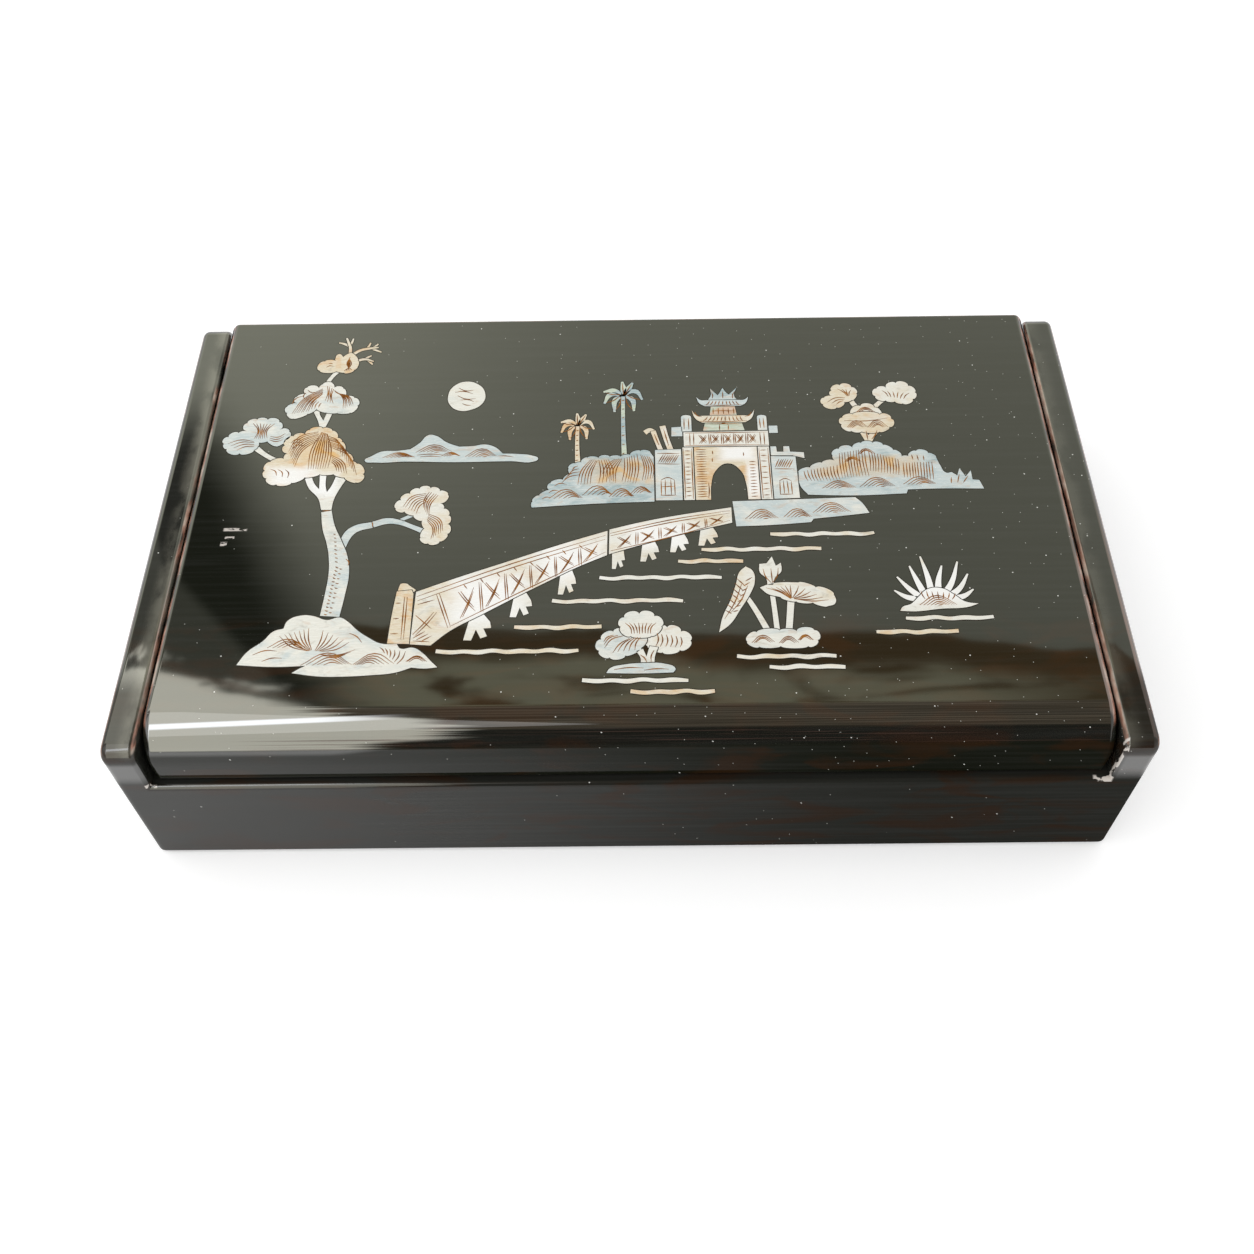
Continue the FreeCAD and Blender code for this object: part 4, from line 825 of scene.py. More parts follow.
def town():
    """A gate with an arch, two upswept roofs and a wall on each side."""
    g = 2.6
    plates = [
        plate(0.52, [(7.4, g, 0), (14.2, g, 0), (14.2, 20.0, 0), (7.4, 19.8, 0)]),
        limb(0.16, [(9.0, 19.4), (7.9, 23.2), (7.0, 26.6)], (1.3, 1.3, 1.4), 1),
        limb(0.16, [(7.4, 26.2), (6.2, 26.9), (4.8, 26.0)], (1.3, 1.5, 1.6), 2),
        limb(0.20, [(11.6, 19.4), (10.4, 24.0), (9.5, 28.4)], (1.5, 1.5, 1.6), 1),
        plate(0.24, [(14.6, g, 0), (17.3, g, 0), (17.3, 20.6, 0), (14.6, 20.6, 0)]),
        plate(0.05, [(17.6, g, 0), (21.4, g, 0), (21.7, 8.0), (23.0, 12.4), (26.2, 14.9), (29.4, 12.4),
                     (30.6, 8.0), (30.9, g, 0), (34.0, g, 0), (34.0, 20.6, 0), (17.6, 20.6, 0)]),
        plate(0.30, [(34.3, g, 0), (37.2, g, 0), (37.2, 20.6, 0), (34.3, 20.6, 0)]),
        plate(0.48, [(37.5, g + .1, 0), (44.0, g + .3, 0), (43.9, 17.0, 0), (37.5, 17.2, 0)]),
        plate(0.44, [(37.6, 17.5, 0), (43.2, 17.4, 0), (46.2, 16.4, 0), (46.2, 18.4, 0), (42.6, 18.7, 0),
                     (42.5, 20.6, 0), (41.0, 20.6, 0), (40.9, 18.7, 0), (39.2, 18.7, 0), (39.1, 20.6, 0),
                     (37.6, 20.6, 0)]),
        plate(0.32, [(15.0, 20.9, 0), (37.3, 20.9, 0), (37.3, 26.2, 0), (15.0, 26.0, 0)]),
        plate(0.50, [(14.5, 26.3, 0), (17.2, 26.3, 0), (17.2, 31.4, .3), (14.5, 31.4, 0)]),
        plate(0.50, [(34.7, 26.5, 0), (37.2, 26.5, 0), (37.2, 31.2, .3), (34.7, 31.2, 0)]),
        plate(0.55, [(11.8, 24.6, 0), (14.7, 24.6, 0), (14.7, 28.0, 0), (11.9, 27.8, 0)]),
        plate(0.55, [(37.6, 25.4, 0), (39.9, 25.4, 0), (39.9, 28.0, 0), (37.6, 28.0, 0)]),
        plate(0.92, [(20.2, 26.5, 0), (31.2, 26.5, 0), (30.6, 29.2, 0), (20.8, 29.2, 0)]),
        plate(0.16, roof(25.8, 29.4, 8.4, 2.5, 4.6)),
        plate(0.95, [(22.2, 32.1, 0), (29.4, 32.1, 0), (29.0, 35.2, 0), (22.6, 35.2, 0)]),
        plate(0.60, roof(25.8, 35.4, 7.0, 2.2, 3.4)),
        plate(0.72, [(22.0, 37.8, 0), (29.6, 37.8, 0), (29.0, 39.4), (29.8, 42.2, 0), (27.6, 39.6, 0),
                     (26.9, 40.4), (26.0, 42.2, 0), (25.1, 40.2), (24.6, 39.4, 0), (22.6, 42.0, 0),
                     (22.8, 39.6)]),
    ]
    cuts = sweep((8.2, 15.4, 9.6, 18.2, 0), (12.2, 15.2, 13.6, 18.0, 0), 8)
    cuts += [(8.0, 15.0, 13.8, 14.8, 0), (8.0, 18.6, 13.8, 18.4, 0), (38.2, 12.8, 43.4, 12.7, 0)]
    cuts += [(8.9, 4.2, 8.9, 9.4, 0), (12.3, 4.2, 12.3, 9.4, 0), (8.9, 9.4, 12.3, 9.4, -.24),
             (8.7, 4.2, 12.5, 4.2, 0), (9.9, 4.4, 9.9, 9.6, 0), (11.3, 4.4, 11.3, 9.6, 0),
             (8.9, 7.2, 12.3, 7.2, 0)]
    cuts += [(39.2, 4.2, 39.2, 8.6, 0), (42.2, 4.2, 42.2, 8.6, 0), (39.2, 8.6, 42.2, 8.6, -.24),
             (39.0, 4.2, 42.4, 4.2, 0), (40.2, 4.4, 40.2, 8.8, 0), (41.2, 4.4, 41.2, 8.8, 0)]
    cuts += sweep((38.4, 13.4, 39.6, 16.2, 0), (41.8, 13.2, 43.2, 16.0, 0), 7)
    cuts += sweep((15.2, 4.0, 16.6, 4.1, 0), (15.2, 19.4, 16.6, 19.4, 0), 12)
    cuts += sweep((34.9, 4.0, 36.5, 4.1, 0), (34.9, 19.4, 36.5, 19.4, 0), 9)
    cuts += sweep((18.1, 3.6, 20.6, 3.7, 0), (18.1, 19.8, 20.8, 19.8, 0), 20)
    cuts += sweep((31.8, 3.6, 33.4, 3.7, 0), (31.8, 15.4, 33.4, 15.4, 0), 12)
    cuts += [(14.9, 3.0, 14.9, 20.2, 0), (17.0, 3.0, 17.0, 20.2, 0), (34.6, 3.0, 34.6, 20.2, 0),
             (36.9, 3.0, 36.9, 20.2, 0), (22.4, 18.0, 22.4, 19.4, 0), (22.2, 15.4, 22.2, 16.8, 0),
             (30.4, 18.6, 30.4, 17.4, 0), (20.9, 3.2, 20.9, 8.4, .03)]
    cuts += crosses(((18.4, 21.6), (34.6, 21.7), (18.4, 25.3), (34.6, 25.5)), 5, 0.5)
    cuts += [(15.4, 21.3, 37.0, 21.3, 0), (15.4, 25.7, 37.0, 25.8, 0), (17.6, 21.4, 17.6, 25.6, 0),
             (35.2, 21.4, 35.2, 25.6, 0), (16.6, 21.4, 16.6, 25.6, 0), (36.2, 21.4, 36.2, 25.6, 0)]
    cuts += [(24.6, 26.7, 24.6, 28.6, 0), (26.9, 26.7, 26.9, 28.6, 0), (24.6, 28.6, 26.9, 28.6, -.2),
             (20.8, 28.8, 30.8, 28.8, 0)]
    cuts += sweep((20.4, 29.9, 21.6, 31.6, .1), (31.0, 29.9, 30.2, 31.6, -.1), 10)
    cuts += [(19.6, 29.9, 32.0, 29.9, .02), (18.2, 33.2, 20.2, 31.4, .2), (33.4, 33.2, 31.4, 31.4, -.2)]
    cuts += sweep((23.2, 32.4, 23.2, 34.8, 0), (28.6, 32.4, 28.6, 34.8, 0), 5)
    cuts += [(22.6, 33.6, 29.0, 33.6, 0)]
    cuts += sweep((21.4, 35.9, 22.4, 37.3, .1), (30.2, 35.9, 29.4, 37.3, -.1), 9)
    cuts += [(20.8, 35.9, 31.0, 35.9, .02), (25.9, 38.2, 26.0, 40.8, 0), (23.2, 38.2, 23.0, 40.6, .1),
             (28.6, 38.2, 29.2, 40.8, -.1)]
    cuts += [(8.4, 21.4, 7.4, 25.4, 0), (11.0, 21.4, 9.8, 27.2, 0), (15.2, 27.0, 15.2, 31.0, 0),
             (16.4, 27.0, 16.4, 31.0, 0), (35.4, 27.2, 35.4, 30.8, 0), (36.4, 27.2, 36.4, 30.8, 0)]
    figure("inlay_gatehouse", plates, cuts)

    quay = [plate(0.50, [(26.8, 2.0, 0), (42.0, 2.4), (58.0, 2.9, 0), (59.6, 1.0), (61.1, -2.3, 0),
                         (54.0, -3.2), (46.9, -4.0, 0), (46.2, -5.1, 0), (36.0, -5.9), (27.4, -6.2, 0)])]
    cuts = ripples(34.0, -3.8, 8.4, 3.0, 6, .2) + ripples(43.0, -3.4, 7.0, 2.6, 5, .3)
    cuts += ripples(51.6, -2.0, 9.6, 3.2, 6, .2)
    figure("inlay_causeway", quay, cuts)


def right_shore():
    """A wooded island with a clouded tree, seen beyond the gate."""
    island = [plate(0.62, [(44.3, 11.6, 0), (44.4, 7.0), (46.2, 3.9, 0), (58.0, 3.5), (71.2, 4.0, 0),
                           (71.7, 5.3, 0), (80.0, 5.5), (91.1, 5.3, 0), (90.3, 8.2, 0), (88.6, 8.4, 0),
                           (88.6, 11.5, 0), (87.0, 9.4, 0), (85.8, 12.3, 0), (84.9, 9.8, 0),
                           (83.6, 11.0, 0), (82.2, 10.8), (81.0, 13.4), (80.3, 16.2, .2),
                           (78.4, 17.6, .3), (75.4, 18.4, .25), (73.2, 16.6, .15),
                           (71.4, 16.6, .25), (69.4, 18.8, .2), (67.0, 20.6, .3), (64.4, 21.4, .25),
                           (61.4, 21.4, .25), (59.0, 19.8, .3), (55.4, 19.4, .3), (53.6, 17.2, .15),
                           (54.0, 15.4, .2), (50.6, 14.6, .2), (47.4, 13.0, .2)])]
    cuts = sweep((45.8, 12.0, 46.6, 8.4, .05), (54.4, 13.8, 54.8, 8.6, .05), 11)
    cuts += sweep((55.4, 18.0, 55.4, 9.4, .02), (62.0, 19.4, 62.2, 10.0, .02), 10)
    cuts += sweep((63.0, 18.6, 62.8, 11.8, -.03), (70.4, 15.6, 70.0, 10.2, -.03), 11)
    cuts += sweep((71.6, 14.4, 71.4, 9.4, 0), (79.0, 14.6, 78.6, 8.4, 0), 11)
    cuts += sweep((74.0, 17.2, 74.2, 15.4, 0), (77.0, 16.8, 77.0, 15.0, 0), 3)
    cuts += ripples(54.2, 6.0, 8.6, 2.4, 5, .3) + ripples(64.0, 6.4, 9.0, 3.0, 6, .3)
    cuts += ripples(75.0, 7.0, 8.4, 2.4, 5, .3)
    cuts += ripples(58.6, 15.0, 4.4, 1.6, 3) + ripples(62.4, 17.6, 4.6, 1.8, 3)
    cuts += [(84.6, 7.4, 85.4, 10.2, 0), (86.2, 7.4, 87.6, 9.6, 0), (83.0, 7.2, 83.2, 9.4, 0)]
    figure("inlay_right_island", island, cuts)

    tree = [
        plate(0.14, [(52.7, 35.6, .3), (56.2, 34.4, .25), (58.4, 36.4, .15), (60.4, 37.0, .2),
                     (61.9, 39.4, .3), (60.8, 41.8, .35), (57.8, 42.6, .35), (55.4, 40.6, .3),
                     (55.2, 38.6, .2), (53.2, 38.0, .35)]),
        plate(0.20, [(67.0, 38.4, .3), (69.6, 36.8, .2), (72.0, 36.4, .2), (74.0, 35.6, .3),
                     (76.8, 37.2, .3), (77.7, 39.6, .3), (76.2, 42.0, .35), (73.0, 43.2, .35),
                     (70.2, 41.4, .3), (67.6, 41.2, .35)]),
        plate(0.20, [(60.2, 31.0, 0), (67.4, 30.8, .3), (66.2, 34.2, .35), (62.6, 34.8, .35)], layer=1),
        plate(0.14, [(57.0, 28.2, .3), (59.4, 25.8, .2), (62.0, 25.6, .12), (66.6, 25.4, .2),
                     (69.4, 27.0, .35), (70.2, 30.0, .35), (67.4, 31.5, .15), (60.2, 31.7, .25),
                     (57.4, 30.6, .35)]),
        plate(0.16, [(62.6, 22.0, 0), (64.4, 22.0, 0), (65.4, 24.0), (67.4, 26.2, 0), (65.4, 26.6, 0),
                     (63.6, 24.2, 0), (63.0, 26.4, 0), (61.2, 26.0, 0)], layer=1),
        limb(0.20, [(63.0, 32.6), (60.6, 36.0), (60.2, 38.6)], (1.7, 1.4, 1.5), 2),
        limb(0.20, [(65.0, 32.6), (67.2, 35.4), (69.8, 37.8)], (1.7, 1.3, 1.4), 2),
    ]
    cuts = sweep((58.8, 37.8, 54.0, 36.4, .16), (58.2, 36.8, 56.2, 35.4, .1), 3)
    cuts += sweep((59.4, 38.4, 57.0, 41.4, .1), (60.0, 38.6, 60.6, 40.8, -.1), 4)
    cuts += sweep((70.4, 38.2, 69.0, 40.4, .1), (74.4, 37.2, 76.2, 39.4, -.1), 6)
    cuts += ripples(63.8, 32.4, 5.2, 1.8, 3)
    cuts += ripples(61.0, 27.0, 5.6, 2.4, 4) + ripples(66.4, 26.9, 5.2, 2.4, 4)
    cuts += [(57.8, 29.6, 69.4, 30.2, .05), (63.4, 22.6, 63.2, 25.8, 0), (64.4, 22.8, 66.2, 26.0, .05)]
    figure("inlay_hill_tree", tree, cuts)


def bridge():
    """A trestle bridge that climbs from the rock to the gate, in two spans."""
    plates = [
        plate(0.06, [(-56.9, -40.7, 0), (-51.7, -40.9, 0), (-51.9, -26.2, 0), (-52.4, -25.0, 0),
                     (-56.0, -25.4, 0), (-56.6, -33.0)]),
        plate(0.12, [(-55.8, -25.1, 0), (-55.4, -23.3, .2), (-53.4, -23.4, 0), (-51.4, -25.0, 0),
                     (-52.2, -26.0, 0)],
              layer=1),
        plate(0.20, [(-51.5, -41.0, 0), (-46.6, -41.4, 0), (-42.2, -37.2), (-35.0, -32.6), (-28.0, -28.1),
                     (-20.0, -23.2), (-12.0, -18.4), (-5.0, -14.9, 0), (-4.9, -7.2, 0), (-16.0, -11.2),
                     (-30.0, -16.8), (-42.0, -21.6), (-51.3, -25.6, 0)]),
        plate(0.22, [(-4.5, -14.6, 0), (4.0, -11.6), (14.0, -8.4), (26.4, -5.0, 0), (26.4, 0.0, 0),
                     (12.0, -2.6), (4.0, -4.4), (-4.4, -6.8, 0)]),
    ]
    for x, y, reach, spread in ((-36.2, -33.0, 7.0, 4.4), (-26.0, -27.0, 6.4, 3.6),
                                (-15.0, -20.4, 6.4, 3.0),
                                (-2.4, -13.8, 5.4, 2.2), (5.2, -11.2, 5.8, 3.2), (12.6, -9.0, 5.2, 3.2),
                                (19.8, -7.0, 5.2, 3.4)):
        legs = ((-1.3, 0.8), (-.62 * spread, -reach), (-.20 * spread, -1.01 * reach),
                (.02 * spread, -.56 * reach), (.30 * spread, -.93 * reach), (.64 * spread, -.84 * reach),
                (.42 * spread, -.52 * reach), (.84 * spread, -.50 * reach), (.76 * spread, -.24 * reach),
                (1.5, 0.8))
        plates.append(plate(0.24, [(x + across, y + down, 0) for across, down in legs], layer=1))
    cuts = [(-51.0, -27.0, -5.4, -8.6, -.012), (-50.8, -28.2, -5.4, -9.8, -.012),
            (-42.0, -35.8, -5.4, -13.9, -.004),
            (-4.2, -8.0, 26.0, -1.0, -.02), (-4.2, -8.9, 26.0, -1.9, -.02), (-4.2, -13.6, 26.0, -4.3, .014),
            (-53.4, -27.0, -53.2, -39.6, 0), (-53.9, -27.0, -53.7, -39.6, 0),
            (-46.2, -26.4, -42.8, -36.4, 0),
            (-45.6, -26.2, -42.2, -36.0, 0)]
    cuts += [(-51.0, -38.2, -46.4, -31.6, .02), (-50.4, -38.4, -45.8, -31.8, .02),
             (-50.8, -32.6, -46.8, -36.6, 0),
             (-50.6, -29.4, -46.6, -28.0, 0), (-50.9, -40.0, -47.0, -40.4, 0)]
    cuts += sweep((-51.0, -39.2, -48.2, -37.4, 0), (-49.0, -40.2, -46.6, -38.6, 0), 3)
    cuts += crosses(((-41.0, -35.2), (-6.0, -14.6), (-42.2, -25.4), (-6.0, -10.2)), 6, 0.5)
    cuts += crosses(((-3.6, -13.4), (25.4, -4.6), (-3.6, -9.2), (25.4, -2.2)), 5, 0.5)
    cuts += [(-56.0, -29.0, -54.6, -28.9, 0), (-56.2, -33.6, -54.8, -33.5, 0),
             (-56.4, -38.0, -54.6, -37.9, 0)]
    cuts += sweep((-40.0, -23.4, -39.0, -24.8, 0), (-12.0, -11.6, -11.0, -12.8, 0), 8)
    figure("inlay_bridge", plates, cuts)


def garden():
    """A clouded tree, a lotus and a clump of reeds, each on its own islet."""
    tree = [
        plate(0.38, [(-1.6, -36.6, .3), (0.8, -39.3, .12), (5.6, -39.3, .2), (8.0, -36.6, .35),
                     (6.4, -33.6, .35), (2.8, -32.9, .35), (-0.8, -33.9, .35)]),
        plate(0.46, layer=1, points=[(-6.7, -43.4, .3), (-4.2, -45.3, .25), (-0.6, -44.8, .15),
                                     (3.2, -42.6, .1), (4.5, -40.8, .15),
                     (3.6, -38.6, .2), (0.2, -38.0, .3), (-3.4, -38.0, .3), (-6.2, -40.2, .35)]),
        plate(0.30, layer=2, points=[(4.7, -42.2, .15), (8.2, -44.0, .2), (12.2, -43.4, .3),
                                     (14.8, -40.8, .35), (12.6, -38.2, .35),
                     (9.4, -36.9, .35), (5.8, -38.4, .25)]),
        plate(0.34, [(2.0, -43.6, 0), (3.6, -43.0, 0), (4.4, -45.2, 0), (5.2, -42.2, 0), (7.2, -42.6, 0),
                     (6.4, -45.0), (6.2, -47.4, 0), (3.0, -47.4, 0), (3.0, -45.6)], layer=1),
        plate(0.50, [(-5.0, -49.7, 0), (-4.2, -48.4), (-1.0, -47.4), (4.0, -47.0), (8.8, -47.3),
                     (11.1, -48.6), (10.6, -49.7, 0), (3.0, -49.9)]),
    ]
    cuts = sweep((1.0, -38.6, -0.6, -35.4, .15), (5.4, -38.6, 6.8, -35.6, -.15), 8)
    cuts += sweep((0.4, -40.0, -3.6, -44.0, .1), (3.0, -39.6, 1.6, -43.4, .1), 5)
    cuts += sweep((-1.0, -39.2, -5.4, -42.6, .16), (-3.4, -39.0, -5.6, -40.8, .16), 3)
    cuts += sweep((7.0, -38.6, 6.6, -42.4, -.12), (12.6, -39.6, 12.4, -42.6, -.12), 6)
    cuts += [(3.0, -44.6, 4.4, -46.8, -.1), (6.2, -43.4, 5.4, -46.8, .1), (-3.2, -48.8, 3.6, -48.4, -.05),
             (3.8, -49.0, 9.6, -48.8, -.05)]
    figure("inlay_cloud_tree", tree, cuts)

    lotus = [
        plate(0.26, [(21.7, -38.5, 0), (24.4, -36.2), (27.2, -31.6), (29.8, -27.0), (31.0, -23.4),
                     (30.6, -20.2), (29.0, -18.9, 0), (27.4, -20.6), (26.4, -24.2), (24.8, -29.2),
                     (22.8, -33.8)]),
        plate(0.34, [(34.0, -24.6, 0), (35.4, -24.6, 0), (36.0, -22.4), (37.6, -20.6), (37.7, -17.9, 0),
                     (36.4, -18.8, 0), (35.6, -15.9, 0), (34.2, -18.0, 0), (32.4, -18.2, 0), (32.4, -20.8),
                     (33.8, -22.6)]),
        plate(0.26, [(32.1, -25.4, 0), (34.4, -24.4), (37.4, -23.9), (41.6, -24.0, .12), (45.6, -25.6, .2),
                     (49.8, -27.8), (49.9, -30.4), (48.0, -31.2, .12), (44.6, -30.0, .12),
                     (40.6, -29.6, .12), (37.0, -28.4), (34.0, -27.4)]),
        limb(0.30, [(28.0, -26.6), (30.4, -31.4), (33.6, -39.0)], (1.1, 1.3, 1.5), 1),
        limb(0.30, [(34.8, -24.2), (35.2, -31.0), (35.5, -38.6)], (1.2, 1.2, 1.3), 2),
        limb(0.30, [(39.4, -29.0), (38.8, -34.0), (38.2, -38.6)], (1.7, 1.6, 1.6), 1),
        plate(0.36, [(28.2, -41.2, .3), (30.6, -38.6, .15), (36.0, -38.2, .15), (40.0, -38.4, .25),
                     (44.2, -38.2, .35), (44.8, -41.0, .3), (42.4, -42.7, .1), (36.0, -42.6, .1),
                     (31.0, -42.7, .25)]),
    ]
    cuts = sweep((29.2, -24.8, 24.4, -33.2, -.06), (27.8, -24.2, 23.2, -34.6, -.04), 2)
    cuts += sweep((28.6, -25.0, 26.6, -22.4, 0), (24.8, -33.0, 23.4, -32.0, 0), 7)
    cuts += sweep((28.8, -23.4, 30.4, -22.2, 0), (25.4, -32.6, 26.6, -32.2, 0), 7)
    cuts += sweep((35.0, -24.0, 33.2, -19.6, -.1), (35.4, -24.0, 37.0, -19.4, .1), 3)
    cuts += sweep((39.4, -28.8, 33.6, -25.6, .08), (39.6, -28.6, 39.4, -24.8, 0), 6)
    cuts += sweep((39.8, -28.6, 41.6, -25.0, .05), (40.4, -28.9, 48.4, -29.4, .06), 6)
    cuts += ripples(32.0, -41.6, 5.4, 2.0, 3)
    cuts += ripples(38.0, -41.8, 4.6, 1.8, 3) + ripples(42.0, -41.0, 3.8, 1.6, 3)
    figure("inlay_lotus", lotus, cuts)

    reeds = [plate(0.26, [(65.2, -32.8, 0), (66.0, -31.6), (68.0, -30.8), (70.0, -28.8), (72.6, -26.4),
                          (76.0, -26.2), (79.0, -28.4), (81.0, -30.2), (84.2, -30.9, 0), (81.4, -31.9),
                          (75.0, -32.3), (69.0, -33.0)])]
    for spots in (((70.0, -29.4), (67.2, -28.7), (64.5, -26.7)),
                  ((70.8, -29.0), (68.3, -26.4), (65.6, -22.6)),
                  ((71.8, -28.4), (70.5, -24.4), (69.0, -19.3)),
                  ((73.4, -28.0), (73.1, -23.0), (72.0, -16.4)),
                  ((75.0, -28.0), (75.5, -24.0), (76.9, -19.3)),
                  ((76.2, -28.2), (78.6, -24.6), (80.9, -18.1)),
                  ((77.4, -28.6), (80.2, -26.4), (82.9, -21.9)),
                  ((78.4, -29.2), (81.0, -28.6), (83.6, -26.6))):
        reeds.append(limb(0.26, spots, (1.7, 1.35, 0.4), 1))
    cuts = ripples(74.6, -31.2, 9.0, 2.8, 6, .1)
    cuts += sweep((71.6, -29.4, 70.8, -26.8, -.06), (78.0, -29.6, 79.0, -27.8, .06), 7)
    figure("inlay_reeds", reeds, cuts)


def water():
    """Short bars of shell for the ripples on the water."""
    bars = ((-27.0, -6.2, -36.5), (-45.2, -11.6, -43.3), (-18.2, 13.4, -28.9), (-6.8, 23.0, -22.0),
            (12.5, 28.5, -17.1), (18.4, 48.0, -13.5), (35.7, 61.6, -8.9), (-10.6, 14.0, -51.8),
            (0.6, 20.0, -55.0), (25.6, 48.8, -45.5), (33.0, 50.6, -48.5), (66.3, 87.2, -35.0),
            (58.9, 78.3, -38.9))
    plates = []
    for i, (x0, x1, y) in enumerate(bars):
        count = max(4, round((x1 - x0) / 3.4))
        spots = [(x0 + (x1 - x0) * k / count, y + 0.16 * (-1) ** k + 0.1 * sin(1.7 * k + i))
                 for k in range(count + 1)]
        widths = [1.15 - 0.2 * (k in (0, count)) + 0.12 * sin(2.3 * k + i) for k in range(count + 1)]
        plates.append(limb(0.14 + 0.05 * (i % 4), spots, widths))
    figure("inlay_water_lines", plates, [])


def shell_picture():
    pine()
    sky()
    left_shore()
    town()
    right_shore()
    bridge()
    garden()
    water()
    finish(joined(seats, "seats_of_the_shell"), "lid", SEAT, (), 35.0, False)


# What the box holds
def softened(node, name, width, material, segments=2):
    """A copy of a solid with its edges eased, which stands for that solid."""
    only_node = NODES[node]
    piece = bpy.data.objects.new(name, only_node.data.copy())
    piece.data.name = name
    bpy.context.collection.objects.link(piece)
    only(piece)
    bpy.ops.object.mode_set(mode="EDIT")
    bpy.ops.mesh.select_all(action="SELECT")
    bpy.ops.mesh.remove_doubles(threshold=0.001 * MM)
    bpy.ops.mesh.dissolve_limited(angle_limit=radians(0.6))
    bpy.ops.object.mode_set(mode="OBJECT")
    add_modifier(piece, "BEVEL", width=width * MM, segments=segments, limit_method="ANGLE",
                 angle_limit=radians(38.0), harden_normals=False, loop_slide=True)
    return finish(piece, "tray", material, (node,), 35.0)


def turned(name, y, z, profile, material, node, sides=40):
    """A piece turned about a line along X. The profile is (x, radius) places, as on a lathe."""
    bpy.ops.object.select_all(action="DESELECT")
    x, radius = profile[0]
    bpy.ops.mesh.primitive_circle_add(vertices=sides, radius=radius * MM, fill_type="NGON",
                                      location=(x * MM, y * MM, z * MM), rotation=(0, pi / 2, 0))
    piece = bpy.context.object
    piece.name = piece.data.name = name
    bpy.ops.object.transform_apply(location=True, rotation=True, scale=True)
    bpy.ops.object.mode_set(mode="EDIT")
    bpy.ops.mesh.select_mode(type="FACE")
    bpy.ops.mesh.select_all(action="SELECT")
    for (x0, r0), (x1, r1) in zip(profile, profile[1:]):
        extrude((x1 - x0, 0, 0))
        bpy.ops.transform.resize(value=(1, r1 / r0, r1 / r0), center_override=(x1 * MM, y * MM, z * MM))
    bpy.ops.mesh.select_all(action="SELECT")
    bpy.ops.mesh.normals_make_consistent(inside=False)
    return finish(piece, "tray", material, (node,) if node else (), 40.0, False)


def axis_of(node):
    """Ends along X, the line's y and z, and the largest radius."""
    low, high = box_mm(node)
    return low[0], high[0], (low[1] + high[1]) / 2, (low[2] + high[2]) / 2, (high[1] - low[1]) / 2


def cane(node, name):
    """A bamboo handle with knots along it and a rounded end."""
    x0, x1, y, z, r = axis_of(node)
    r -= 0.12
    profile = [(x0, r - .3), (x0 + .4, r - .05)]
    for share in (0.26, 0.55, 0.82):
        x = x0 + (x1 - x0) * share
        profile += [(x - 2.4, r - .12), (x - .7, r + .02), (x - .2, r + .12), (x + .25, r + .1),
                    (x + .5, r - .22), (x + .9, r - .2), (x + 3.2, r - .05)]
    profile += [(x1 - 2.0, r - .05), (x1 - .9, r - .25), (x1 - .25, r - .8), (x1, r - 1.6)]
    return turned(name, y, z, profile, BAMBOO, node)


def brush(size):
    """Handle, horn collar and hair."""
    cane(f"{size}_brush_handle", f"{size}_cane")
    x0, x1, y, z, r = axis_of(f"{size}_brush_ferrule")
    profile = [(x0, r - .5), (x0 + .3, r - .15), (x0 + .9, r), (x0 + 2.6, r), (x0 + 2.9, r - .3),
               (x0 + 3.3, r - .3), (x0 + 3.6, r - .05), (x1 - 2.8, r - .1), (x1 - 2.5, r - .35),
               (x1 - 2.1, r - .35), (x1 - 1.8, r - .15), (x1 - .5, r - .2), (x1, r - .6)]
    turned(f"{size}_collar", y, z, profile, HORN, f"{size}_brush_ferrule")
    x0, x1, y, z, r = axis_of(f"{size}_brush_tuft")
    shape = ((0.0, .82), (.05, .9), (.16, .99), (.30, .98), (.46, .88), (.62, .68), (.76, .44),
             (.88, .22), (.96, .08), (1.0, .015))
    turned(f"{size}_hair", y, z, [(x1 + (x0 - x1) * s, r * w) for s, w in shape], HAIR,
           f"{size}_brush_tuft")


def cap():
    """A bamboo tube that slips over the larger brush, closed at the far end."""
    x0, x1, y, z, r = axis_of("large_brush_cap")
    bore = axis_of("large_brush_ferrule")[4] + 0.12
    deep = x0 + 3.0
    profile = [(deep, .4), (deep, bore), (x1, bore), (x1, r - .35), (x1 - .35, r - .05), (x1 - 5.0, r),
               (x1 - 5.3, r - .3), (x1 - 5.7, r - .3), (x1 - 6.0, r), (x0 + 6.0, r), (x0 + 5.7, r - .3),
               (x0 + 5.3, r - .3), (x0 + 5.0, r), (x0 + 1.4, r - .1), (x0 + .5, r - .6), (x0, r - 1.6)]
    turned("brush_cap", y, z, profile, BAMBOO, "large_brush_cap", 48)


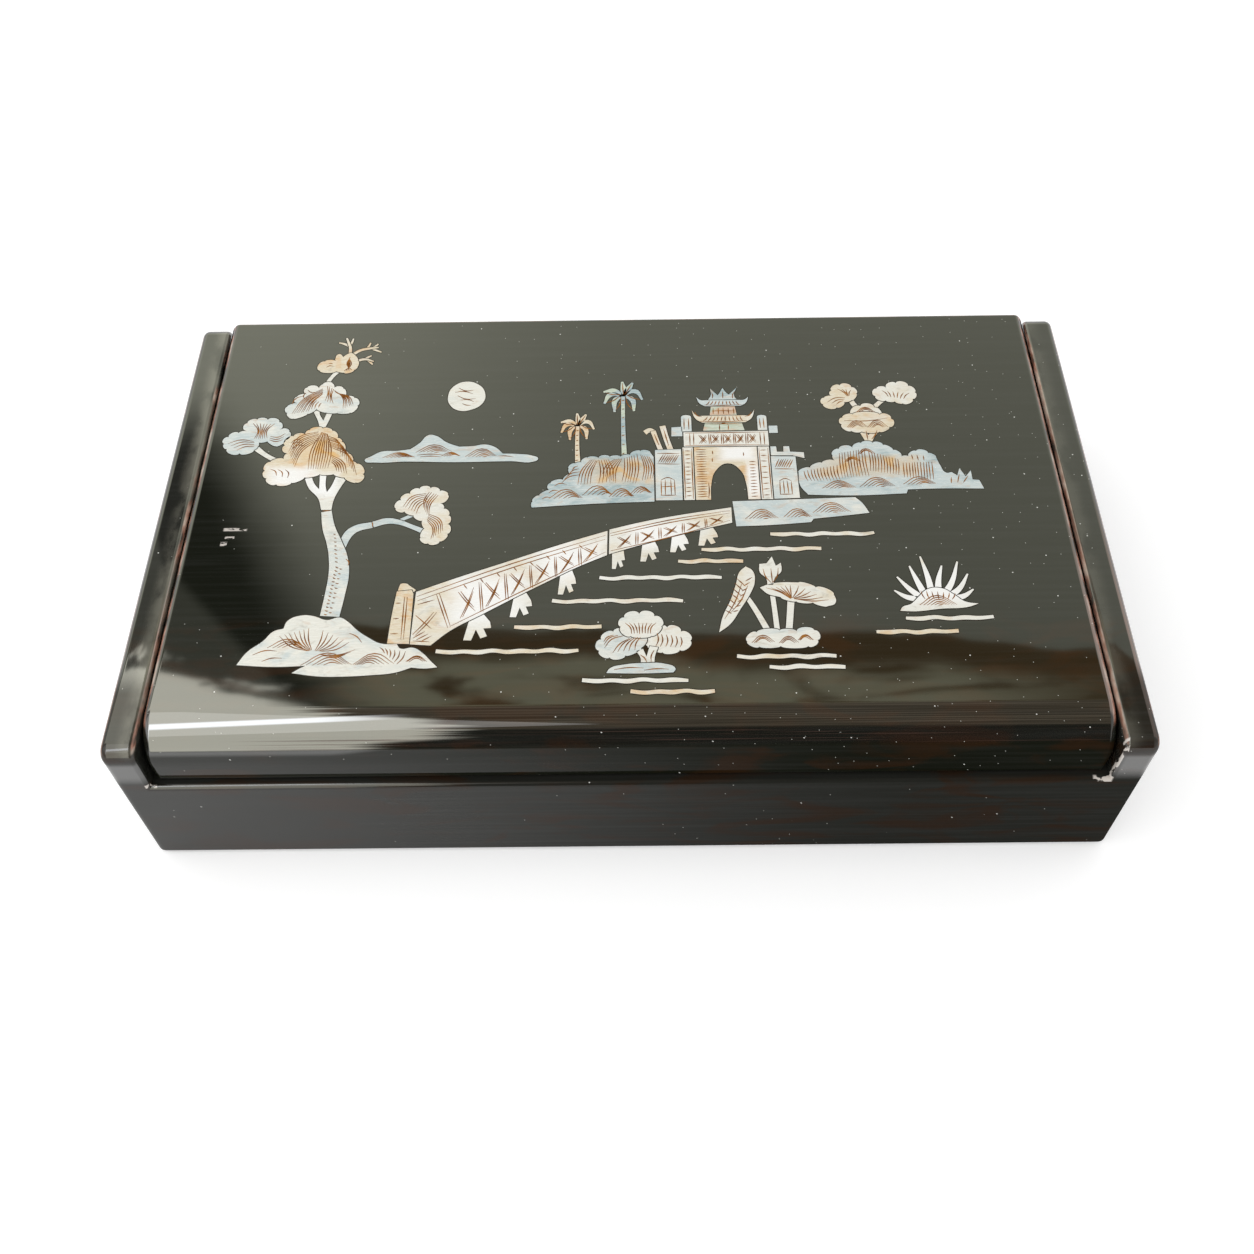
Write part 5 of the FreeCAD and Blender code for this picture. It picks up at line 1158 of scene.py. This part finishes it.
def contents():
    """The fittings of the tray and the things that lie in them."""
    for node, name in (("left_lid_rest", "left_rest_strip"), ("right_lid_rest", "right_rest_strip"),
                       ("bay_divider", "red_divider")):
        softened(node, name, 0.6, RED_LACQUER)
    softened("bed_board", "red_bed_board", 0.5, RED_LACQUER)
    softened("brush_rests", "red_brush_rests", 0.45, RED_LACQUER)
    softened("ink_stone", "slate_ink_stone", 0.5, SLATE)
    softened("water_dropper", "glazed_dropper", 0.6, PORCELAIN, 3)
    softened("ink_stick", "pressed_ink_stick", 0.35, INK)
    brush("large")
    brush("small")
    cap()
    low, high = box_mm("pivot_pins")
    y, z, r = (low[1] + high[1]) / 2, (low[2] + high[2]) / 2, (high[2] - low[2]) / 2 - 0.01
    pins = []
    for side in (-1, 1):
        ends = [(side * 99.2, r - .35), (side * 99.5, r), (side * (HALF_LENGTH - 1.2), r),
                (side * (HALF_LENGTH - .8), r - .4)]
        pins.append(turned("pin", y, z, ends, BRASS, None, 24))
    both_pins = joined(pins, "brass_pins")
    finish(both_pins, "tray", BRASS, ("pivot_pins",), 40.0, False)


tray()
lid()
shell_picture()
contents()


# The setting
def room():
    """A room that looks white. The lacquer mirrors it unevenly: brighter at the back left, with a dark door
    at the left and a dim, brownish front. s and t say how far a direction leans right and back."""
    world = bpy.data.worlds.new("room")
    bpy.context.scene.world = world
    world.use_nodes = True
    paint = Tree(world.node_tree)
    background = paint.tree.nodes["Background"]
    way = paint.node("ShaderNodeTexCoord", {}, {}, "Generated")
    dx, dy, dz = (paint.node("ShaderNodeSeparateXYZ", {}, {0: way}, i) for i in range(3))
    s, t = dx.math("DIVIDE", dz.math("MAXIMUM", 0.05)), dy.math("DIVIDE", dz.math("MAXIMUM", 0.05))
    spot = paint.node("ShaderNodeCombineXYZ", {}, {0: s, 1: t})

    def cloud(scale, detail, warp):
        stretched = paint.node("ShaderNodeVectorMath", {"operation": "MULTIPLY"},
                               {0: spot, 1: (*scale, 1.0)})
        return paint.node("ShaderNodeTexNoise", {},
                          {"Vector": stretched, "Scale": 1.0, "Detail": detail, "Distortion": warp})

    soft, torn = cloud((7.0, 9.0), 3.0, 0.4), cloud((9.0, 34.0), 6.0, 1.0)
    above = dz.between(0.20, 0.45)
    level = s.between(0.0, -0.40) * 0.45 * t.between(0.70, 1.0)
    level = level + (t - 0.62) * 0.5 + 0.58 - s.between(-0.1, 0.3) * 0.10
    edge = s + (t - 0.84) * 0.51 + (soft - 0.5) * 0.03
    door = edge.between(-0.31, -0.41) * t.between(1.04, 0.92)
    step = (t + (s + 0.42) * 1.07).between(0.745, 0.765)
    door = door * (step * 0.30 + 0.68)
    shore = t + (soft - 0.5) * 0.05 + s * 0.05
    low = shore.between(0.7000, 0.6965) * (s + (torn - 0.5) * 0.3).between(-0.36, -0.22)
    low = low * t.between(-0.2, 0.2)
    low = low * (1.0 - door * 0.95)
    tone = paint.mix(above, (0.95, 0.95, 0.93), (0.98, 0.99, 0.80))
    tone = paint.node("ShaderNodeMix", {"data_type": "RGBA", "blend_type": "MULTIPLY"},
                      {0: above, 6: tone,
                       7: paint.node("ShaderNodeCombineXYZ", {}, {0: level, 1: level, 2: level})}, 2)
    tone = paint.mix(door * above, tone, (0.01, 0.01, 0.01))
    tone = paint.mix(low * above * 0.95, tone, (0.17, 0.085, 0.025))
    leaf = low * torn.between(0.38, 0.54) * shore.between(0.676, 0.655) * s.between(0.46, 0.24)
    tone = paint.mix(leaf * above * 0.8, tone, (0.86, 0.84, 0.58))
    front = t.between(0.56, 0.46) * dz.between(-0.10, 0.10)
    streak = cloud((3.0, 16.0), 4.0, 0.3)
    tone = paint.mix(front, tone, paint.mix(streak.between(0.40, 0.62), (0.20, 0.15, 0.11),
                                            (0.52, 0.42, 0.31)))
    fold = paint.node("ShaderNodeCombineXYZ", {}, {0: dx * 5.0, 1: dz * 22.0})
    fold = paint.node("ShaderNodeTexNoise", {},
                      {"Vector": fold, "Scale": 1.0, "Detail": 4.0, "Distortion": 0.8})
    deep = front * dy.between(-0.50, -0.66)
    tone = paint.mix(deep, tone, paint.mix(fold.between(0.56, 0.66), (0.035, 0.028, 0.035),
                                           (0.36, 0.20, 0.17)))
    reach = dx + (fold - 0.5) * 0.10 + 0.045
    reach = reach - dy.between(0.10, -0.10) * 0.085 + dz.between(0.50, 0.30) * 0.05
    ragged = t + (torn - 0.5) * 0.09 + (s + 0.42) * 0.30
    sill = ragged.between(0.668, 0.655) * reach.between(-0.165, -0.205) * dz.between(-0.04, 0.04)
    tone = paint.mix(sill, tone, (3.2, 3.15, 2.7))
    wedge = sill * fold.between(0.52, 0.60) * dx.between(-0.30, -0.22) * dz.between(0.62, 0.45)
    tone = paint.mix(wedge * 0.8, tone, (1.2, 0.85, 0.75))
    line = dy - (dx + 0.34) * 2.1
    strip = line.between(-0.50, -0.42) * line.between(-0.20, -0.28)
    strip = strip * dx.between(-0.16, -0.24) * dz.between(0.3, 0.5)
    tone = paint.mix(strip, tone, (8.0, 8.2, 8.4))
    aside = dx.abs().between(0.42, 0.56) * dy.between(0.48, 0.36)
    tone = paint.mix(aside, tone, paint.mix(dz.between(0.0, 0.9), (0.80, 0.80, 0.78), (0.46, 0.46, 0.44)))
    flank = dz.between(0.05, 0.2) * dy.between(-0.20, 0.10)
    tone = paint.mix(dx.between(0.42, 0.54) * dy.between(0.64, 0.54) * flank * 0.8, tone, (2.2, 1.7, 1.5))
    path = {name: paint.node("ShaderNodeLightPath", {}, {}, name) for name in
            ("Is Camera Ray", "Is Glossy Ray", "Is Transmission Ray")}
    tone = paint.mix(path["Is Glossy Ray"], (0.84, 0.84, 0.84), tone)
    tone = paint.mix((path["Is Camera Ray"] + path["Is Transmission Ray"]).math("MINIMUM", 1.0), tone,
                     (1.0, 1.0, 1.0))
    paint.tree.links.new(tone.socket, background.inputs[0])
    background.inputs[1].default_value = 1.0


def setting():
    """A pale floor, a soft white room and a lamp."""
    bpy.ops.object.select_all(action="DESELECT")
    bpy.ops.mesh.primitive_plane_add(size=6.0, location=(0, 0, -0.0004))
    floor = bpy.context.object
    floor.name = "floor"
    bpy.ops.object.transform_apply(location=True, rotation=True, scale=True)
    paint = Paint("floor", (0.92, 0.92, 0.92), 0.9)
    seen = [paint.node("ShaderNodeLightPath", {}, {}, name) for name in
            ("Is Camera Ray", "Is Glossy Ray", "Is Transmission Ray")]
    seen = (seen[0] + seen[1] + seen[2]).math("MINIMUM", 1.0)
    paint.set(**{"Emission Color": paint.mix(seen, (0, 0, 0), (0.30, 0.30, 0.30)),
                 "Emission Strength": 1.0})
    floor.data.materials.append(paint.material)

    room()

    def lamp(name, place, aim, size, power):
        bpy.ops.object.light_add(type="AREA", location=place)
        light = bpy.context.object
        light.name = name
        light.data.shape = "RECTANGLE"
        light.data.size, light.data.size_y = size
        light.data.energy = power
        light.rotation_euler = (Vector(aim) - Vector(place)).to_track_quat("-Z", "Y").to_euler()

    lamp("window", (-0.6, -0.3, 0.8), (0, 0, 0.03), (1.0, 1.0), 3.0)


CAMERA_PLACE = (2.58 * MM, -223.23 * MM, 315.86 * MM)
CAMERA_TURN = (0.835, 35.114, -1.298)


def camera():
    """The camera of the photograph, from a fit to the box's own corners."""
    data = bpy.data.cameras.new("camera")
    data.lens, data.sensor_width = 39.155, 36.0
    data.clip_start = 0.01
    eye = bpy.data.objects.new("camera", data)
    bpy.context.collection.objects.link(eye)
    pan, tilt, roll = (radians(a) for a in CAMERA_TURN)
    turn = Euler((0, 0, pan)).to_matrix() @ Euler((tilt, 0, 0)).to_matrix()
    turn = turn @ Euler((0, 0, roll)).to_matrix()
    eye.matrix_world = turn.to_4x4()
    eye.location = CAMERA_PLACE
    bpy.context.scene.camera = eye


setting()
camera()
bpy.context.scene.view_settings.view_transform = "Standard"
